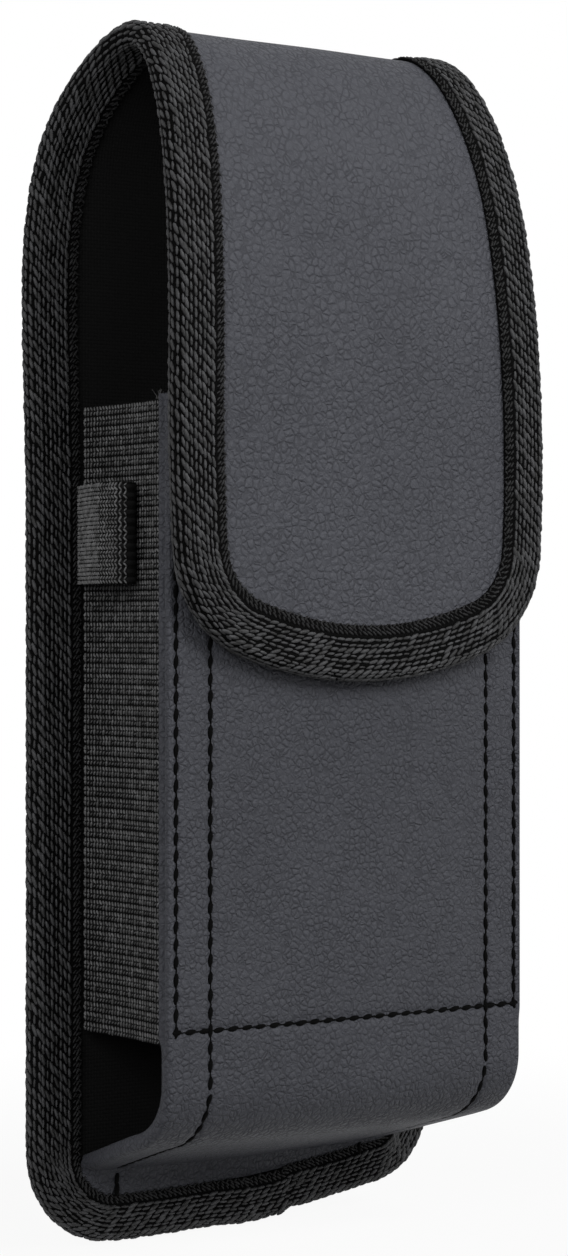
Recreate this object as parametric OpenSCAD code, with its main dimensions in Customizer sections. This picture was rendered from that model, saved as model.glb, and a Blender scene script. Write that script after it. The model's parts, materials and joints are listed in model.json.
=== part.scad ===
// Belt holster for a phone: a stiff back panel whose leather runs over the top as a
// flap, a front strip that bends under the phone, elastic sides, and a belt clip
// between two belt loops at the rear.
// X runs to the right as the front is faced, Y runs to the rear, Z runs up.
// The origin is on the rear face of the back panel, at mid height of the belt loops.

/* [Layers] */
// Thickness of the leather
skin_t = 0.8; // [0.5:0.1:1.2]
// Thickness of the stiff board, or of the padding in the flap
core_t = 1.0; // [0.8:0.1:1.6]
// Thickness of the lining
lining_t = 0.6; // [0.4:0.1:1.0]
// Thickness of the binding tape
tape_t = 0.5; // [0.3:0.1:0.8]
// How far the binding covers each face, from the outer edge
tape_cover = 9; // [7:0.5:12]
// How far it covers each face along the bottom edge of the back
foot_cover = 7.6; // [6:0.2:12]

/* [Back panel] */
// Width of the back panel over its binding
back_w = 84.4; // [82:0.2:96]
// Depth of the bottom edge's lowest point below the belt line
back_drop = 113.2; // [108:0.2:130]
// How far that lowest point lies to the left of the middle
back_low_left = 20; // [0:1:24]
// Radius of the bottom corner at the left
left_corner_r = 16; // [13:0.5:26]
// Radius of the bottom corner at the right
right_corner_r = 13; // [13:0.5:26]
// Radius of the slightly convex bottom edge
back_bottom_r = 300; // [150:10:600]
// Height above the belt line where the sides start to draw in
draw_in_z = 45; // [40:1:52]
// Radius of the sides where they draw in towards the fold
draw_in_r = 84; // [70:1:110]

/* [Fold and flap] */
// Height of the fold's crest above the belt line
crest_z = 83.6; // [80:0.2:95]
// How far the crest lies behind the middle of the fold
crest_lead = 2.6; // [0:0.2:5]
// Height over which the fold rises at the rear
rear_rise = 26; // [20:1:28]
// Height over which the fold comes down at the front
front_rise = 56; // [45:1:60]
// Height of the line that the flap swings about
hinge_z = 57; // [54:0.5:58]
// Width of the strip at the crest, over its binding
waist_w = 66.6; // [60:0.2:72]
// Radius of the hollow in each side at the crest
waist_r = 16.5; // [16:0.5:20]
// Greatest width of the flap over its binding
flap_w = 78; // [74:0.2:82]
// Height at which the flap is widest
flap_wide_z = 23; // [15:1:30]
// Radius of the flap's long sides
flap_side_r = 343; // [250:1:500]
// Depth of the flap's lower edge below the belt line
flap_drop = 21.6; // [15:0.2:30]
// Radius of the flap's lower corners
flap_corner_r = 19; // [12:1:24]
// Radius of the flap's convex lower edge
flap_bottom_r = 77; // [60:1:120]
// Air between the flap and what it closes against
flap_gap = 0.3; // [0.2:0.05:0.6]

/* [Front strip] */
// Width of the strip that forms the front and the bottom
front_w = 74.8; // [70:0.2:78]
// Height of its upper edge above the belt line
front_top = 23.6; // [18:0.2:30]
// Depth below the belt line at which it starts to bend to the rear
bend_drop = 84.3; // [80:0.1:95]
// Outer radius of the bend, at the strip's edges
bend_r = 11; // [8:0.5:14]
// Slope of the bottom, downwards to the rear
bottom_slope = 16.5; // [10:0.5:22]
// Width of the strip where it meets the back panel
foot_w = 66; // [62:0.2:74]
// How far the middle of the strip stands out in front of its edges
bow = 0.8; // [0.4:0.1:1.2]
// Clear depth of the pocket between the strip and the back panel
pocket_d = 27; // [22:0.5:32]
// Room left round the board and the lining in the strip, and round its foot in the binding
edge_room = 0.1; // [0.05:0.05:0.2]

/* [Closure] */
// Diameter of the magnet and of its steel keeper
magnet_d = 20; // [12:1:24]
// Height of the magnet above the flap's lower edge
magnet_up = 22; // [18:1:28]
// Room round the magnet in its hole
magnet_room = 0.2; // [0.1:0.05:0.4]

/* [Elastic sides] */
// Thickness of the elastic between its ribs
elastic_t = 1.2; // [0.8:0.1:1.6]
// Height of each rib above the elastic
rib_h = 0.3; // [0.2:0.05:0.4]
// Number of ribs from top to bottom
rib_count = 61; // [40:1:70]
// Upper edge of the elastic below the upper edge of the strip
elastic_inset = 0.8; // [0.4:0.1:3]
// Height of the elastic
elastic_h = 101; // [94:1:102]
// Width of the sewn tab at each end of the elastic
tab_w = 8; // [6:0.5:10]

/* [Pen loop] */
// Height of the loop's webbing
pen_h = 16; // [12:0.5:20]
// Height of the loop's lower edge above the belt line
pen_z = -6; // [-20:0.5:4]
// Thickness of the loop's webbing
pen_t = 0.9; // [0.6:0.1:1.2]
// Reach of the loop from the seam towards the front
pen_reach = 18.5; // [16:0.5:22]
// Width of the space inside the flattened loop
pen_space = 1.8; // [1.4:0.1:3]

/* [Belt loops] */
// Width of each belt loop
loop_w = 15; // [12:0.5:15]
// Thickness of the belt loops
loop_t = 1.6; // [1.2:0.1:2]
// Height of the belt loops, with their sewn ends
loop_h = 76; // [68:1:84]
// Length of each sewn end
loop_end = 8; // [6:0.5:10]
// Clear space for the belt behind the back panel
loop_gap = 6; // [5:0.5:8]
// Distance between each loop and the binding beside it
loop_margin = 0.6; // [0.2:0.1:1]

/* [Belt clip] */
// Width of the spring clip
clip_w = 28; // [22:1:30]
// Thickness of the spring steel
clip_t = 1.2; // [1:0.1:1.6]
// Height of the clip's bend above the belt line
clip_top = 40; // [36:0.5:42]
// Length of the leg that is riveted on
clip_leg = 44; // [40:1:50]
// Length of the free tongue
clip_tongue = 64; // [50:1:70]
// Inner radius of the bend
clip_bend_r = 3.4; // [3:0.1:4.5]
// How far the tongue leans towards the leg at its tip
clip_lean = 1.4; // [0:0.1:1.6]
// How far the tip turns out again
clip_flare = 2.4; // [1:0.1:4]
// Length of the tip that turns out
clip_flare_l = 8; // [5:0.5:12]
// Radius of the tongue's corners
clip_corner_r = 9; // [4:0.5:11]
// Thickness of the leather patch under the clip
patch_t = 1.4; // [1:0.1:1.8]
// Margin of the patch around the riveted leg
patch_margin = 3; // [2:0.5:3]
// How far the patch reaches above the clip's bend
patch_over = 1; // [0:0.5:4]
// Radius of the patch's corners
patch_corner_r = 4; // [2:0.5:8]
// Radius of the rivet shanks
rivet_r = 2; // [1.5:0.1:2.5]
// Radius of the rivet heads
rivet_head_r = 4.2; // [3.5:0.1:5]
// Height of the domed rivet heads
rivet_head_h = 1.2; // [0.8:0.1:1.4]
// Distance between the two rivets
rivet_pitch = 22; // [18:1:24]
// Radius of the washers
washer_r = 4.5; // [4:0.1:6]
// Thickness of the washers
washer_t = 0.5; // [0.3:0.1:0.6]
// Room between a rivet and its hole
rivet_room = 0.05; // [0.02:0.01:0.1]

/* [Hidden] */
$fn = 64;

leather = [0.27, 0.275, 0.29];
webbing = [0.12, 0.12, 0.125];
steel = [0.62, 0.62, 0.64];
far = 300;

// Depths of the layers, counted from the outer face of the binding
skin_d = tape_t;
core_d = skin_d + skin_t;
lining_d = core_d + core_t;
inner_d = lining_d + lining_t;
bound_t = inner_d + tape_t;

// The panel without its binding, and the faces that it is stacked between
panel_t = skin_t + core_t + lining_t;
pocket_back_y = -panel_t;
front_inner_y = pocket_back_y - pocket_d;
front_edge_y = front_inner_y - panel_t;
flap_inner_y = front_edge_y - bow - flap_gap;
flap_outer_y = flap_inner_y - bound_t;

// The fold, seen from the side
crest_y = (tape_t + flap_outer_y) / 2 + crest_lead;
fold_steps = 12;

function arc(c, r, a0, a1, n) =
    [for (i = [0:n]) c + r * [cos(a0 + (a1 - a0) * i / n), sin(a0 + (a1 - a0) * i / n)]];
function mirrored(pts) = [for (i = [len(pts) - 1:-1:0]) [-pts[i][0], pts[i][1]]];
function unit(v) = v / norm(v);
function angle_of(v) = atan2(v[1], v[0]);

// The lower right one of the two points that lie r1 from c1 and r2 from c2
function meet(c1, r1, c2, r2) =
    let (d = norm(c2 - c1), u = (c2 - c1) / d,
         a = (r1 * r1 - r2 * r2 + d * d) / (2 * d), h = sqrt(r1 * r1 - a * a))
    c1 + a * u + h * [-u[1], u[0]];

// A thin strip of even thickness along a path
function path_normal(p, i) =
    let (a = p[max(i - 1, 0)], b = p[min(i + 1, len(p) - 1)], t = unit(b - a))
    [-t[1], t[0]];
function ribbon(p, t) = concat(
    [for (i = [0:len(p) - 1]) p[i] + path_normal(p, i) * t / 2],
    [for (i = [len(p) - 1:-1:0]) p[i] - path_normal(p, i) * t / 2]);

// Outline of the back panel from the front, as far inside its edge as inset says and with
// its lowest point as deep as drop says
function back_side(inset, drop, low_x, r) =
    let (hw = back_w / 2, cx = hw - r, low = [low_x, back_bottom_r - drop],
         corner = [cx, low[1] - sqrt(pow(back_bottom_r - r, 2) - pow(cx - low_x, 2))],
         turn = angle_of(corner - low), up = crest_z + 1)
    concat(arc(low, back_bottom_r - inset, -90, turn, 4),
           arc(corner, r - inset, turn, 0, 10),
           arc([hw - draw_in_r, draw_in_z], draw_in_r - inset, 0,
               asin((up - draw_in_z) / (draw_in_r - inset)), 10));
module back_outline(inset, drop = back_drop) {
    polygon(concat(back_side(inset, drop, -back_low_left, right_corner_r),
                   mirrored(back_side(inset, drop, back_low_left, left_corner_r))));
}

// Outline of the flap from the front
function flap_side(inset) =
    let (low = [0, flap_bottom_r - flap_drop],
         wide = [flap_w / 2 - flap_side_r, flap_wide_z],
         corner = meet(low, flap_bottom_r - flap_corner_r, wide, flap_side_r - flap_corner_r),
         turn = angle_of(corner - low), side = angle_of(corner - wide),
         up = asin((crest_z + 1 - flap_wide_z) / (flap_side_r - inset)))
    concat(arc(low, flap_bottom_r - inset, -90, turn, 6),
           arc(corner, flap_corner_r - inset, turn, side, 10),
           arc(wide, flap_side_r - inset, side, up, 8));
module flap_outline(inset) {
    right = flap_side(inset);
    polygon(concat(right, mirrored(right)));
}

// Puts a shape drawn in X and Z between two places along Y
module across_y(y0, y1) {
    translate([0, y1, 0]) rotate([90, 0, 0]) linear_extrude(y1 - y0) children();
}

// Puts a shape drawn in Y and Z symmetrically across X
module across_x(w) {
    rotate([90, 0, 90]) linear_extrude(w, center = true) children();
}

// All that lies inside the edge of the folded strip, less the hollows at its waist
module strip_bounds(inset) {
    difference() {
        union() {
            across_y(crest_y, far) back_outline(inset);
            across_y(-far, crest_y) flap_outline(inset);
        }
        for (side = [-1, 1])
            translate([side * (waist_w / 2 + waist_r - inset), crest_y, 0])
                cylinder(h = far, r = waist_r, $fn = 96);
    }
}

// The folded strip from the side, as a line at depth d under its outer face
function fold_point(a, b, z, t, d) =
    let (n = unit([cos(t) / a, sin(t) / b])) [crest_y, z] + [a * cos(t), b * sin(t)] - d * n;
function fold_line(d) = concat(
    [[tape_t - d, hinge_z + flap_gap]],
    [for (i = [0:fold_steps])
        fold_point(tape_t - crest_y, rear_rise, crest_z - rear_rise, 90 * i / fold_steps, d)],
    [for (i = [1:fold_steps])
        fold_point(crest_y - flap_outer_y, front_rise, crest_z - front_rise,
                   90 + 90 * i / fold_steps, d)],
    [[flap_outer_y + d, -flap_drop - 1]]);
function backwards(pts) = [for (i = [len(pts) - 1:-1:0]) pts[i]];
module fold_layer(d0, d1) {
    across_x(back_w + 2) polygon(concat(fold_line(d0), backwards(fold_line(d1))));
}

// One layer of the folded strip, above the hinge line, inside the edge by inset
module flap_layer(d0, d1, inset) {
    intersection() {
        fold_layer(d0, d1);
        strip_bounds(inset);
    }
}

// One layer of the flat back panel, below the hinge line
module back_layer(d0, d1, inset, drop = back_drop) {
    across_y(tape_t - d1, tape_t - d0) intersection() {
        back_outline(inset, drop);
        translate([-back_w, -2 * back_w]) square([2 * back_w, 2 * back_w + hinge_z]);
    }
}

// Section of the front strip: distance from the centre of the bend, and X
bow_r = (pow(front_w / 2, 2) + bow * bow) / (2 * bow);
function bowed(x, d) = bend_r - d + sqrt(bow_r * bow_r - x * x) - (bow_r - bow);
core_hw = front_w / 2 - skin_t - edge_room;
function bow_arc(x0, x1, d) = [for (i = [0:10])
    let (x = x0 + (x1 - x0) * i / 10) [bowed(x, d), x]];
module core_section(d0, d1) {
    polygon(concat(bow_arc(-core_hw, core_hw, d0), bow_arc(core_hw, -core_hw, d1)));
}

// The whole section inside the leather's outer faces, and the room inside the leather,
// which is open to the pocket
module outer_section() {
    hw = front_w / 2;
    roll = skin_t * 0.6;
    polygon(concat(
        [[bowed(-hw, panel_t - roll), -hw], [bowed(-hw, roll), -hw]],
        bow_arc(-hw + roll, hw - roll, 0),
        [[bowed(hw, roll), hw], [bowed(hw, panel_t - roll), hw],
         [bowed(hw, panel_t), hw - roll], [bowed(-hw, panel_t), -hw + roll]]));
}
module room_section() {
    inner = front_w / 2 - skin_t;
    open = bowed(inner, panel_t) - 1;
    polygon(concat(
        [[open, -inner], [bowed(-inner, skin_t), -inner]],
        bow_arc(-core_hw, core_hw, skin_t),
        [[bowed(inner, skin_t), inner], [open, inner]]));
}

// Carries a section up the front, round the bend and along the bottom, where it narrows
// towards the foot. Its sides lie inside the strip's by inset there
bend_turn = 90 - bottom_slope;
bend_y = front_edge_y + bend_r;
narrowing = (front_w - foot_w) / 2 / (pocket_back_y - bend_y);
lap = 0.02;
module along_strip(to_back, inset) {
    bottom_l = 2 * pocket_d;
    front_hw = front_w / 2 - inset + narrowing * far / 2;
    back_hw = front_hw - narrowing * (far / 2 + to_back - bend_y);
    intersection() {
        translate([0, bend_y, -bend_drop]) rotate([0, 90, 0]) rotate([0, 0, -90]) {
            translate([0, lap, 0]) rotate([90, 0, 0])
                linear_extrude(front_top + bend_drop + lap) children();
            rotate_extrude(angle = bend_turn, $fn = 96) children();
            rotate([0, 0, bend_turn]) rotate([90, 0, 0]) translate([0, 0, -bottom_l])
                linear_extrude(bottom_l + lap) children();
        }
        translate([0, 0, -far / 2]) linear_extrude(far)
            polygon([[-front_hw, bend_y - far / 2], [front_hw, bend_y - far / 2],
                     [back_hw, to_back], [-back_hw, to_back]]);
    }
}

// A stretch of the section on the upright part of the strip only
module on_front(z0, z1) {
    translate([0, bend_y, 0]) rotate([0, 90, 0]) rotate([0, 0, -90])
        rotate([90, 0, 0]) translate([0, 0, z0]) linear_extrude(z1 - z0) children();
}

magnet_z = magnet_up - flap_drop;
module magnet_shape(y0, y1, room) {
    translate([0, y1, magnet_z]) rotate([90, 0, 0])
        cylinder(h = y1 - y0, r = magnet_d / 2 + room);
}

// Back panel
clip_leg_z = clip_top - clip_leg;
rivet_z = clip_top - clip_leg / 2 - 3;
rivet_zs = [rivet_z - rivet_pitch / 2, rivet_z + rivet_pitch / 2];
module at_rivets(y) {
    for (z = rivet_zs)
        translate([0, y, z]) rotate([-90, 0, 0]) children();
}
module back_skin() {
    color(leather) difference() {
        back_layer(skin_d, core_d, tape_t);
        at_rivets(-far / 2) cylinder(h = far, r = rivet_r + rivet_room);
    }
}
module back_board() {
    color("dimgray") difference() {
        back_layer(core_d, lining_d, tape_t);
        at_rivets(-far / 2) cylinder(h = far, r = washer_r + rivet_room);
    }
}
module back_lining() {
    color(webbing) back_layer(lining_d, inner_d, tape_t);
}
window_drop = back_drop + tape_cover - foot_cover;
module back_binding() {
    color(webbing) difference() {
        back_layer(0, bound_t, 0);
        back_layer(skin_d, inner_d, tape_t);
        back_layer(-1, bound_t + 1, tape_cover, window_drop);
    }
}

// Front strip, whose leather turns down at the foot to meet the binding
foot_y = pocket_back_y - skin_t;
foot_z = -bend_drop - (bend_r - skin_t - core_t / 2) / cos(bottom_slope) -
    (pocket_back_y - bend_y) * tan(bottom_slope);
module front_foot() {
    across_y(foot_y, pocket_back_y) intersection() {
        back_outline(tape_cover + edge_room, window_drop);
        translate([-far / 2, foot_z - far]) square([far, far]);
    }
}
module front_skin() {
    color(leather) union() {
        difference() {
            along_strip(pocket_back_y - tape_t, 0) outer_section();
            along_strip(pocket_back_y, skin_t) room_section();
        }
        front_foot();
    }
}
module front_core(d0, d1) {
    along_strip(foot_y - edge_room, skin_t + edge_room) core_section(d0, d1);
}
module front_board() {
    color("dimgray") difference() {
        front_core(skin_t, skin_t + core_t);
        magnet_shape(flap_inner_y, 0, magnet_room);
    }
}
module front_lining() {
    color(webbing) front_core(skin_t + core_t, panel_t);
}
module front_keeper() {
    color(steel) intersection() {
        front_core(skin_t, skin_t + core_t);
        magnet_shape(flap_inner_y, front_inner_y, 0);
    }
}

// Elastic sides
elastic_top = front_top - elastic_inset;
elastic_low = elastic_top - elastic_h;
seam_x = back_w / 2 - tape_cover - elastic_t / 2 - rib_h;
edge_x = front_w / 2 - skin_t - elastic_t / 2 - rib_h;
side_from = [seam_x, pocket_back_y - elastic_t / 2];
side_to = [edge_x, front_inner_y + elastic_t / 2];
rib_pitch = elastic_h / rib_count;
function ribs(side) = [for (i = [0:rib_count - 1], k = [0:3])
    [side * (elastic_t / 2 + (k == 0 ? 0 : k == 3 ? 0.7 * rib_h : rib_h)),
     elastic_low + rib_pitch * (i + [0.04, 0.3, 0.66, 0.92][k])]];
rib_end = elastic_t;
half_t = elastic_t / 2;
module elastic_side() {
    wall = side_to - side_from;
    back_edge = seam_x + half_t + rib_h;
    union() {
        translate([side_from[0], side_from[1], 0]) rotate([0, 0, angle_of(wall) + 90])
            rotate([90, 0, 0]) {
                translate([-half_t, elastic_low, 0]) cube([elastic_t, elastic_h, norm(wall)]);
                translate([0, 0, rib_end]) linear_extrude(norm(wall) - 2 * rib_end)
                    polygon(concat(
                        [[-half_t, elastic_low], [half_t, elastic_low]], ribs(1),
                        [[half_t, elastic_top], [-half_t, elastic_top]],
                        backwards(ribs(-1))));
            }
        translate([back_edge - tab_w, pocket_back_y - elastic_t, elastic_low])
            cube([tab_w, elastic_t, elastic_h]);
        on_front(elastic_low, elastic_top) intersection() {
            core_section(panel_t, panel_t + elastic_t);
            translate([0, core_hw - tab_w]) square([far, tab_w]);
        }
    }
}
module elastic_left() {
    color(webbing) mirror([1, 0, 0]) elastic_side();
}
module elastic_right() {
    color(webbing) elastic_side();
}

// Pen loop, flattened against the left side
pen_r = (pen_space + pen_t) / 2;
pen_gap = 0.3;
function side_x(y) = side_from[0] + (side_to[0] - side_from[0]) *
    (y - side_from[1]) / (side_to[1] - side_from[1]) + elastic_t / 2 + rib_h;
module pen_loop() {
    y0 = pocket_back_y - tape_t - pen_gap;
    y1 = y0 - pen_reach + pen_r;
    x0 = side_x(y0) + pen_gap + pen_t / 2;
    x1 = side_x(y1) + pen_gap + pen_t / 2 + pen_r;
    path = concat([[x0, y0]], arc([x1, y1], pen_r, 180, 360, 10), [[x0 + pen_t * 1.1, y0]]);
    color(webbing) mirror([1, 0, 0]) translate([0, 0, pen_z]) linear_extrude(pen_h)
        polygon(ribbon(path, pen_t));
}

// Belt loops
loop_rise = 8;
loop_x = back_w / 2 - tape_cover - loop_margin - loop_w / 2;
function loop_off(z) =
    let (s = min(max((loop_h / 2 - loop_end - abs(z)) / loop_rise, 0), 1))
    loop_gap * s * s * (3 - 2 * s);
module belt_loop(x) {
    steps = 44;
    zs = [for (i = [0:steps]) loop_h * (i / steps - 0.5)];
    translate([x, 0, 0]) across_x(loop_w) polygon(concat(
        [for (z = zs) [loop_off(z) + loop_t, z]], backwards([for (z = zs) [loop_off(z), z]])));
}
module belt_loop_left() {
    color(webbing) belt_loop(-loop_x);
}
module belt_loop_right() {
    color(webbing) belt_loop(loop_x);
}

// Belt clip
module rounded(w, z0, z1, r) {
    polygon(concat(arc([w / 2 - r, z0 + r], r, -90, 0, 6), arc([w / 2 - r, z1 - r], r, 0, 90, 6),
                   arc([r - w / 2, z1 - r], r, 90, 180, 6), arc([r - w / 2, z0 + r], r, 180, 270, 6)));
}
module clip_patch() {
    color(leather) difference() {
        across_y(0, patch_t)
            rounded(clip_w + 2 * patch_margin, clip_leg_z - patch_margin,
                    clip_top + patch_over, patch_corner_r);
        at_rivets(-1) cylinder(h = patch_t + 2, r = rivet_r + rivet_room);
    }
}
leg_y = patch_t + clip_t / 2;
turn_r = clip_bend_r + clip_t / 2;
turn_z = clip_top - turn_r - clip_t / 2;
tip_z = clip_top - clip_tongue;
module belt_clip() {
    path = concat(
        [[leg_y, clip_leg_z]],
        arc([leg_y + turn_r, turn_z], turn_r, 180, 0, 12),
        [for (i = [1:6]) [leg_y + 2 * turn_r - clip_lean * i / 6,
                          turn_z + (tip_z + clip_flare_l - turn_z) * i / 6]],
        [for (i = [1:4]) [leg_y + 2 * turn_r - clip_lean + clip_flare * pow(i / 4, 2),
                          tip_z + clip_flare_l * (1 - i / 4)]]);
    color(steel) difference() {
        intersection() {
            across_x(clip_w) polygon(ribbon(path, clip_t));
            across_y(-far, far) rounded(clip_w, tip_z, clip_top + clip_corner_r, clip_corner_r);
        }
        at_rivets(0) cylinder(h = leg_y + turn_r, r = rivet_r + rivet_room);
    }
}

// Rivets with domed heads outside the clip's leg, closed over washers under the lining
rivet_seat = patch_t + clip_t;
washer_y = tape_t - core_d - washer_t;
tail_y = tape_t - lining_d;
module clip_rivets() {
    dome_r = (rivet_head_r * rivet_head_r + rivet_head_h * rivet_head_h) / (2 * rivet_head_h);
    color(steel) at_rivets(0) union() {
        translate([0, 0, tail_y]) cylinder(h = washer_y - tail_y, r = rivet_r * 1.5);
        translate([0, 0, tail_y]) cylinder(h = rivet_seat - tail_y, r = rivet_r);
        intersection() {
            translate([0, 0, rivet_seat + rivet_head_h - dome_r]) sphere(r = dome_r, $fn = 96);
            translate([0, 0, rivet_seat]) cylinder(h = rivet_head_h + 1, r = rivet_head_r);
        }
    }
}
module rivet_washers() {
    color(steel) at_rivets(washer_y) difference() {
        cylinder(h = washer_t, r = washer_r);
        translate([0, 0, -1]) cylinder(h = washer_t + 2, r = rivet_r + rivet_room);
    }
}

// Flap
module flap_skin() {
    color(leather) flap_layer(skin_d, core_d, tape_t);
}
module flap_padding() {
    color("dimgray") difference() {
        flap_layer(core_d, lining_d, tape_t);
        magnet_shape(-far, front_edge_y, magnet_room);
    }
}
module flap_lining() {
    color(webbing) flap_layer(lining_d, inner_d, tape_t);
}
module flap_binding() {
    color(webbing) difference() {
        flap_layer(0, bound_t, 0);
        flap_layer(skin_d, inner_d, tape_t);
        strip_bounds(tape_cover);
    }
}
module flap_magnet() {
    color(steel) magnet_shape(flap_outer_y + core_d, flap_outer_y + lining_d, 0);
}

back_skin();
back_board();
back_lining();
back_binding();
front_skin();
front_board();
front_lining();
front_keeper();
elastic_left();
elastic_right();
pen_loop();
belt_loop_left();
belt_loop_right();
clip_patch();
belt_clip();
clip_rivets();
rivet_washers();
flap_skin();
flap_padding();
flap_lining();
flap_binding();
flap_magnet();
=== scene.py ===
"""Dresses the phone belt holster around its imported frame.

Sizes are in millimetres and come from the part. Shader and Geometry Nodes inputs are in metres.
"""
import json
import logging
import math
from dataclasses import dataclass, field
from enum import Enum

import bpy
import numpy as np
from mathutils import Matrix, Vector

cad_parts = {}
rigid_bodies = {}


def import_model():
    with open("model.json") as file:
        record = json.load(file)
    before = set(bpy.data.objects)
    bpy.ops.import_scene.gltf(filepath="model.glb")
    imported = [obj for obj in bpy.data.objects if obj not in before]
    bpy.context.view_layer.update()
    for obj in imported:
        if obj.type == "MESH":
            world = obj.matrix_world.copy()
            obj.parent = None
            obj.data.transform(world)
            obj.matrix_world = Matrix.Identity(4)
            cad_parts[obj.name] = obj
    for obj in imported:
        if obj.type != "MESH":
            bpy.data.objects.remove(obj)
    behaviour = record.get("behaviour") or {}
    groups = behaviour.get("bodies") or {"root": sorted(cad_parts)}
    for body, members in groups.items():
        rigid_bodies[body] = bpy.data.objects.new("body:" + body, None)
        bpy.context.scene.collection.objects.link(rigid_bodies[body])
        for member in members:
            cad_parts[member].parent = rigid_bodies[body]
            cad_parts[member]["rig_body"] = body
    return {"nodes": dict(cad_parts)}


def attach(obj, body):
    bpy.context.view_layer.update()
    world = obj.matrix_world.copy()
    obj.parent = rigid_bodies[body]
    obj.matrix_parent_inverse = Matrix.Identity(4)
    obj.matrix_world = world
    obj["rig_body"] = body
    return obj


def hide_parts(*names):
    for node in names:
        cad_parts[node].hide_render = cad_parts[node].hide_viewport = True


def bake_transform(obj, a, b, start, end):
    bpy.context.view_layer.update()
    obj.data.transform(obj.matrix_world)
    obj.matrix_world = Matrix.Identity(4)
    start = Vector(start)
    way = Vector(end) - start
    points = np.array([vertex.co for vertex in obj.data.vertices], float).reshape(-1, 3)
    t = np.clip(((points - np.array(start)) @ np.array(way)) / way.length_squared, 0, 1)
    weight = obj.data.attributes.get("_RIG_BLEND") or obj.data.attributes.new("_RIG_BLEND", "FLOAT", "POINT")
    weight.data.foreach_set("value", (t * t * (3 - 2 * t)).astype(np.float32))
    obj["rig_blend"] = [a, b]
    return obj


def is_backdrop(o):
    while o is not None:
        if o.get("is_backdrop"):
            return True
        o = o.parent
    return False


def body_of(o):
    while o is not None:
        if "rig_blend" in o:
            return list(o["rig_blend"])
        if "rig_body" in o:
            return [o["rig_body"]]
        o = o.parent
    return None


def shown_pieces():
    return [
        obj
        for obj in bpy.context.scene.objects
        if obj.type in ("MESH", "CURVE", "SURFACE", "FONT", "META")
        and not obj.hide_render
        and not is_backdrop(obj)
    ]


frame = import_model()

MM = 0.001
log = logging.getLogger("holster")
Point = tuple[float, float, float]


class Body(Enum):
    """The two bodies of the frame."""

    POUCH = "pouch"
    FLAP = "flap"


class Slot(Enum):
    """The record's material slots, by name."""

    LEATHER = "leather"
    BINDING = "binding"
    ELASTIC = "elastic"
    LINING = "lining"
    PADDING = "padding"


class Sheet:
    """A thin wrapper that adds and joins nodes of one tree."""

    def __init__(self, tree: bpy.types.NodeTree) -> None:
        """Keeps the tree that the nodes go into."""
        self.tree = tree

    def add(self, kind: str, inputs: dict | None = None, **props: object) -> bpy.types.Node:
        """Adds a node.

        Args:
            kind: The node's type name.
            inputs: Values or output sockets by input name or index.
            props: Properties of the node itself.

        Returns:
            The new node.
        """
        node = self.tree.nodes.new(kind)
        for key, value in props.items():
            setattr(node, key, value)
        for key, value in (inputs or {}).items():
            self.feed(node.inputs[key], value)
        return node

    def feed(self, socket: bpy.types.NodeSocket, value: object) -> None:
        """Joins an output to a socket, or sets the socket's own value."""
        if isinstance(value, bpy.types.NodeSocket):
            self.tree.links.new(value, socket)
        else:
            socket.default_value = value

    def math(self, what: str, a: object, b: object = 0.0, c: object = 0.0) -> bpy.types.NodeSocket:
        """Adds a Math node and returns its value."""
        kind = "ShaderNodeMath"
        return self.add(kind, {0: a, 1: b, 2: c}, operation=what).outputs[0]

    def vector(self, what: str, a: object, b: object) -> bpy.types.NodeSocket:
        """Adds a Vector Math node of two inputs and returns its vector."""
        return self.add("ShaderNodeVectorMath", {0: a, 1: b}, operation=what).outputs[0]

    def scaled(self, a: object, by: object) -> bpy.types.NodeSocket:
        """Multiplies a vector by a number."""
        return self.add("ShaderNodeVectorMath", {0: a, "Scale": by}, operation="SCALE").outputs[0]

    def ramp(self, value: object, low: float, high: float) -> bpy.types.NodeSocket:
        """Takes a value smoothly from 0 at low to 1 at high."""
        node = self.add("ShaderNodeMapRange", {0: value, 1: low, 2: high},
                        interpolation_type="SMOOTHSTEP")
        return node.outputs[0]

    def mix(self, factor: object, a: object, b: object) -> bpy.types.NodeSocket:
        """Mixes two colours."""
        node = self.add("ShaderNodeMix", data_type="RGBA")
        for index, value in ((0, factor), (6, a), (7, b)):
            self.feed(node.inputs[index], value)
        return node.outputs[2]


def new_group(name: str, kind: str, ins: list[tuple],
              outs: list[tuple]) -> tuple[Sheet, dict, dict]:
    """Makes an empty node group with named sockets.

    Args:
        name: The group's name.
        kind: The tree's type.
        ins: Name, socket type and default of each input.
        outs: Name and socket type of each output.

    Returns:
        The sheet, the inputs' sockets inside the group, and the outputs' sockets inside it.
    """
    tree = bpy.data.node_groups.new(name, kind)
    for label, sort, value in ins:
        socket = tree.interface.new_socket(label, in_out="INPUT", socket_type=sort)
        if value is not None:
            socket.default_value = value
    for label, sort in outs:
        tree.interface.new_socket(label, in_out="OUTPUT", socket_type=sort)
    sheet = Sheet(tree)
    got = {s.name: s for s in sheet.add("NodeGroupInput").outputs if s.name}
    put = {s.name: s for s in sheet.add("NodeGroupOutput").inputs if s.name}
    return sheet, got, put


FLOAT, VECTOR, GEOMETRY = "NodeSocketFloat", "NodeSocketVector", "NodeSocketGeometry"


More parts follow.
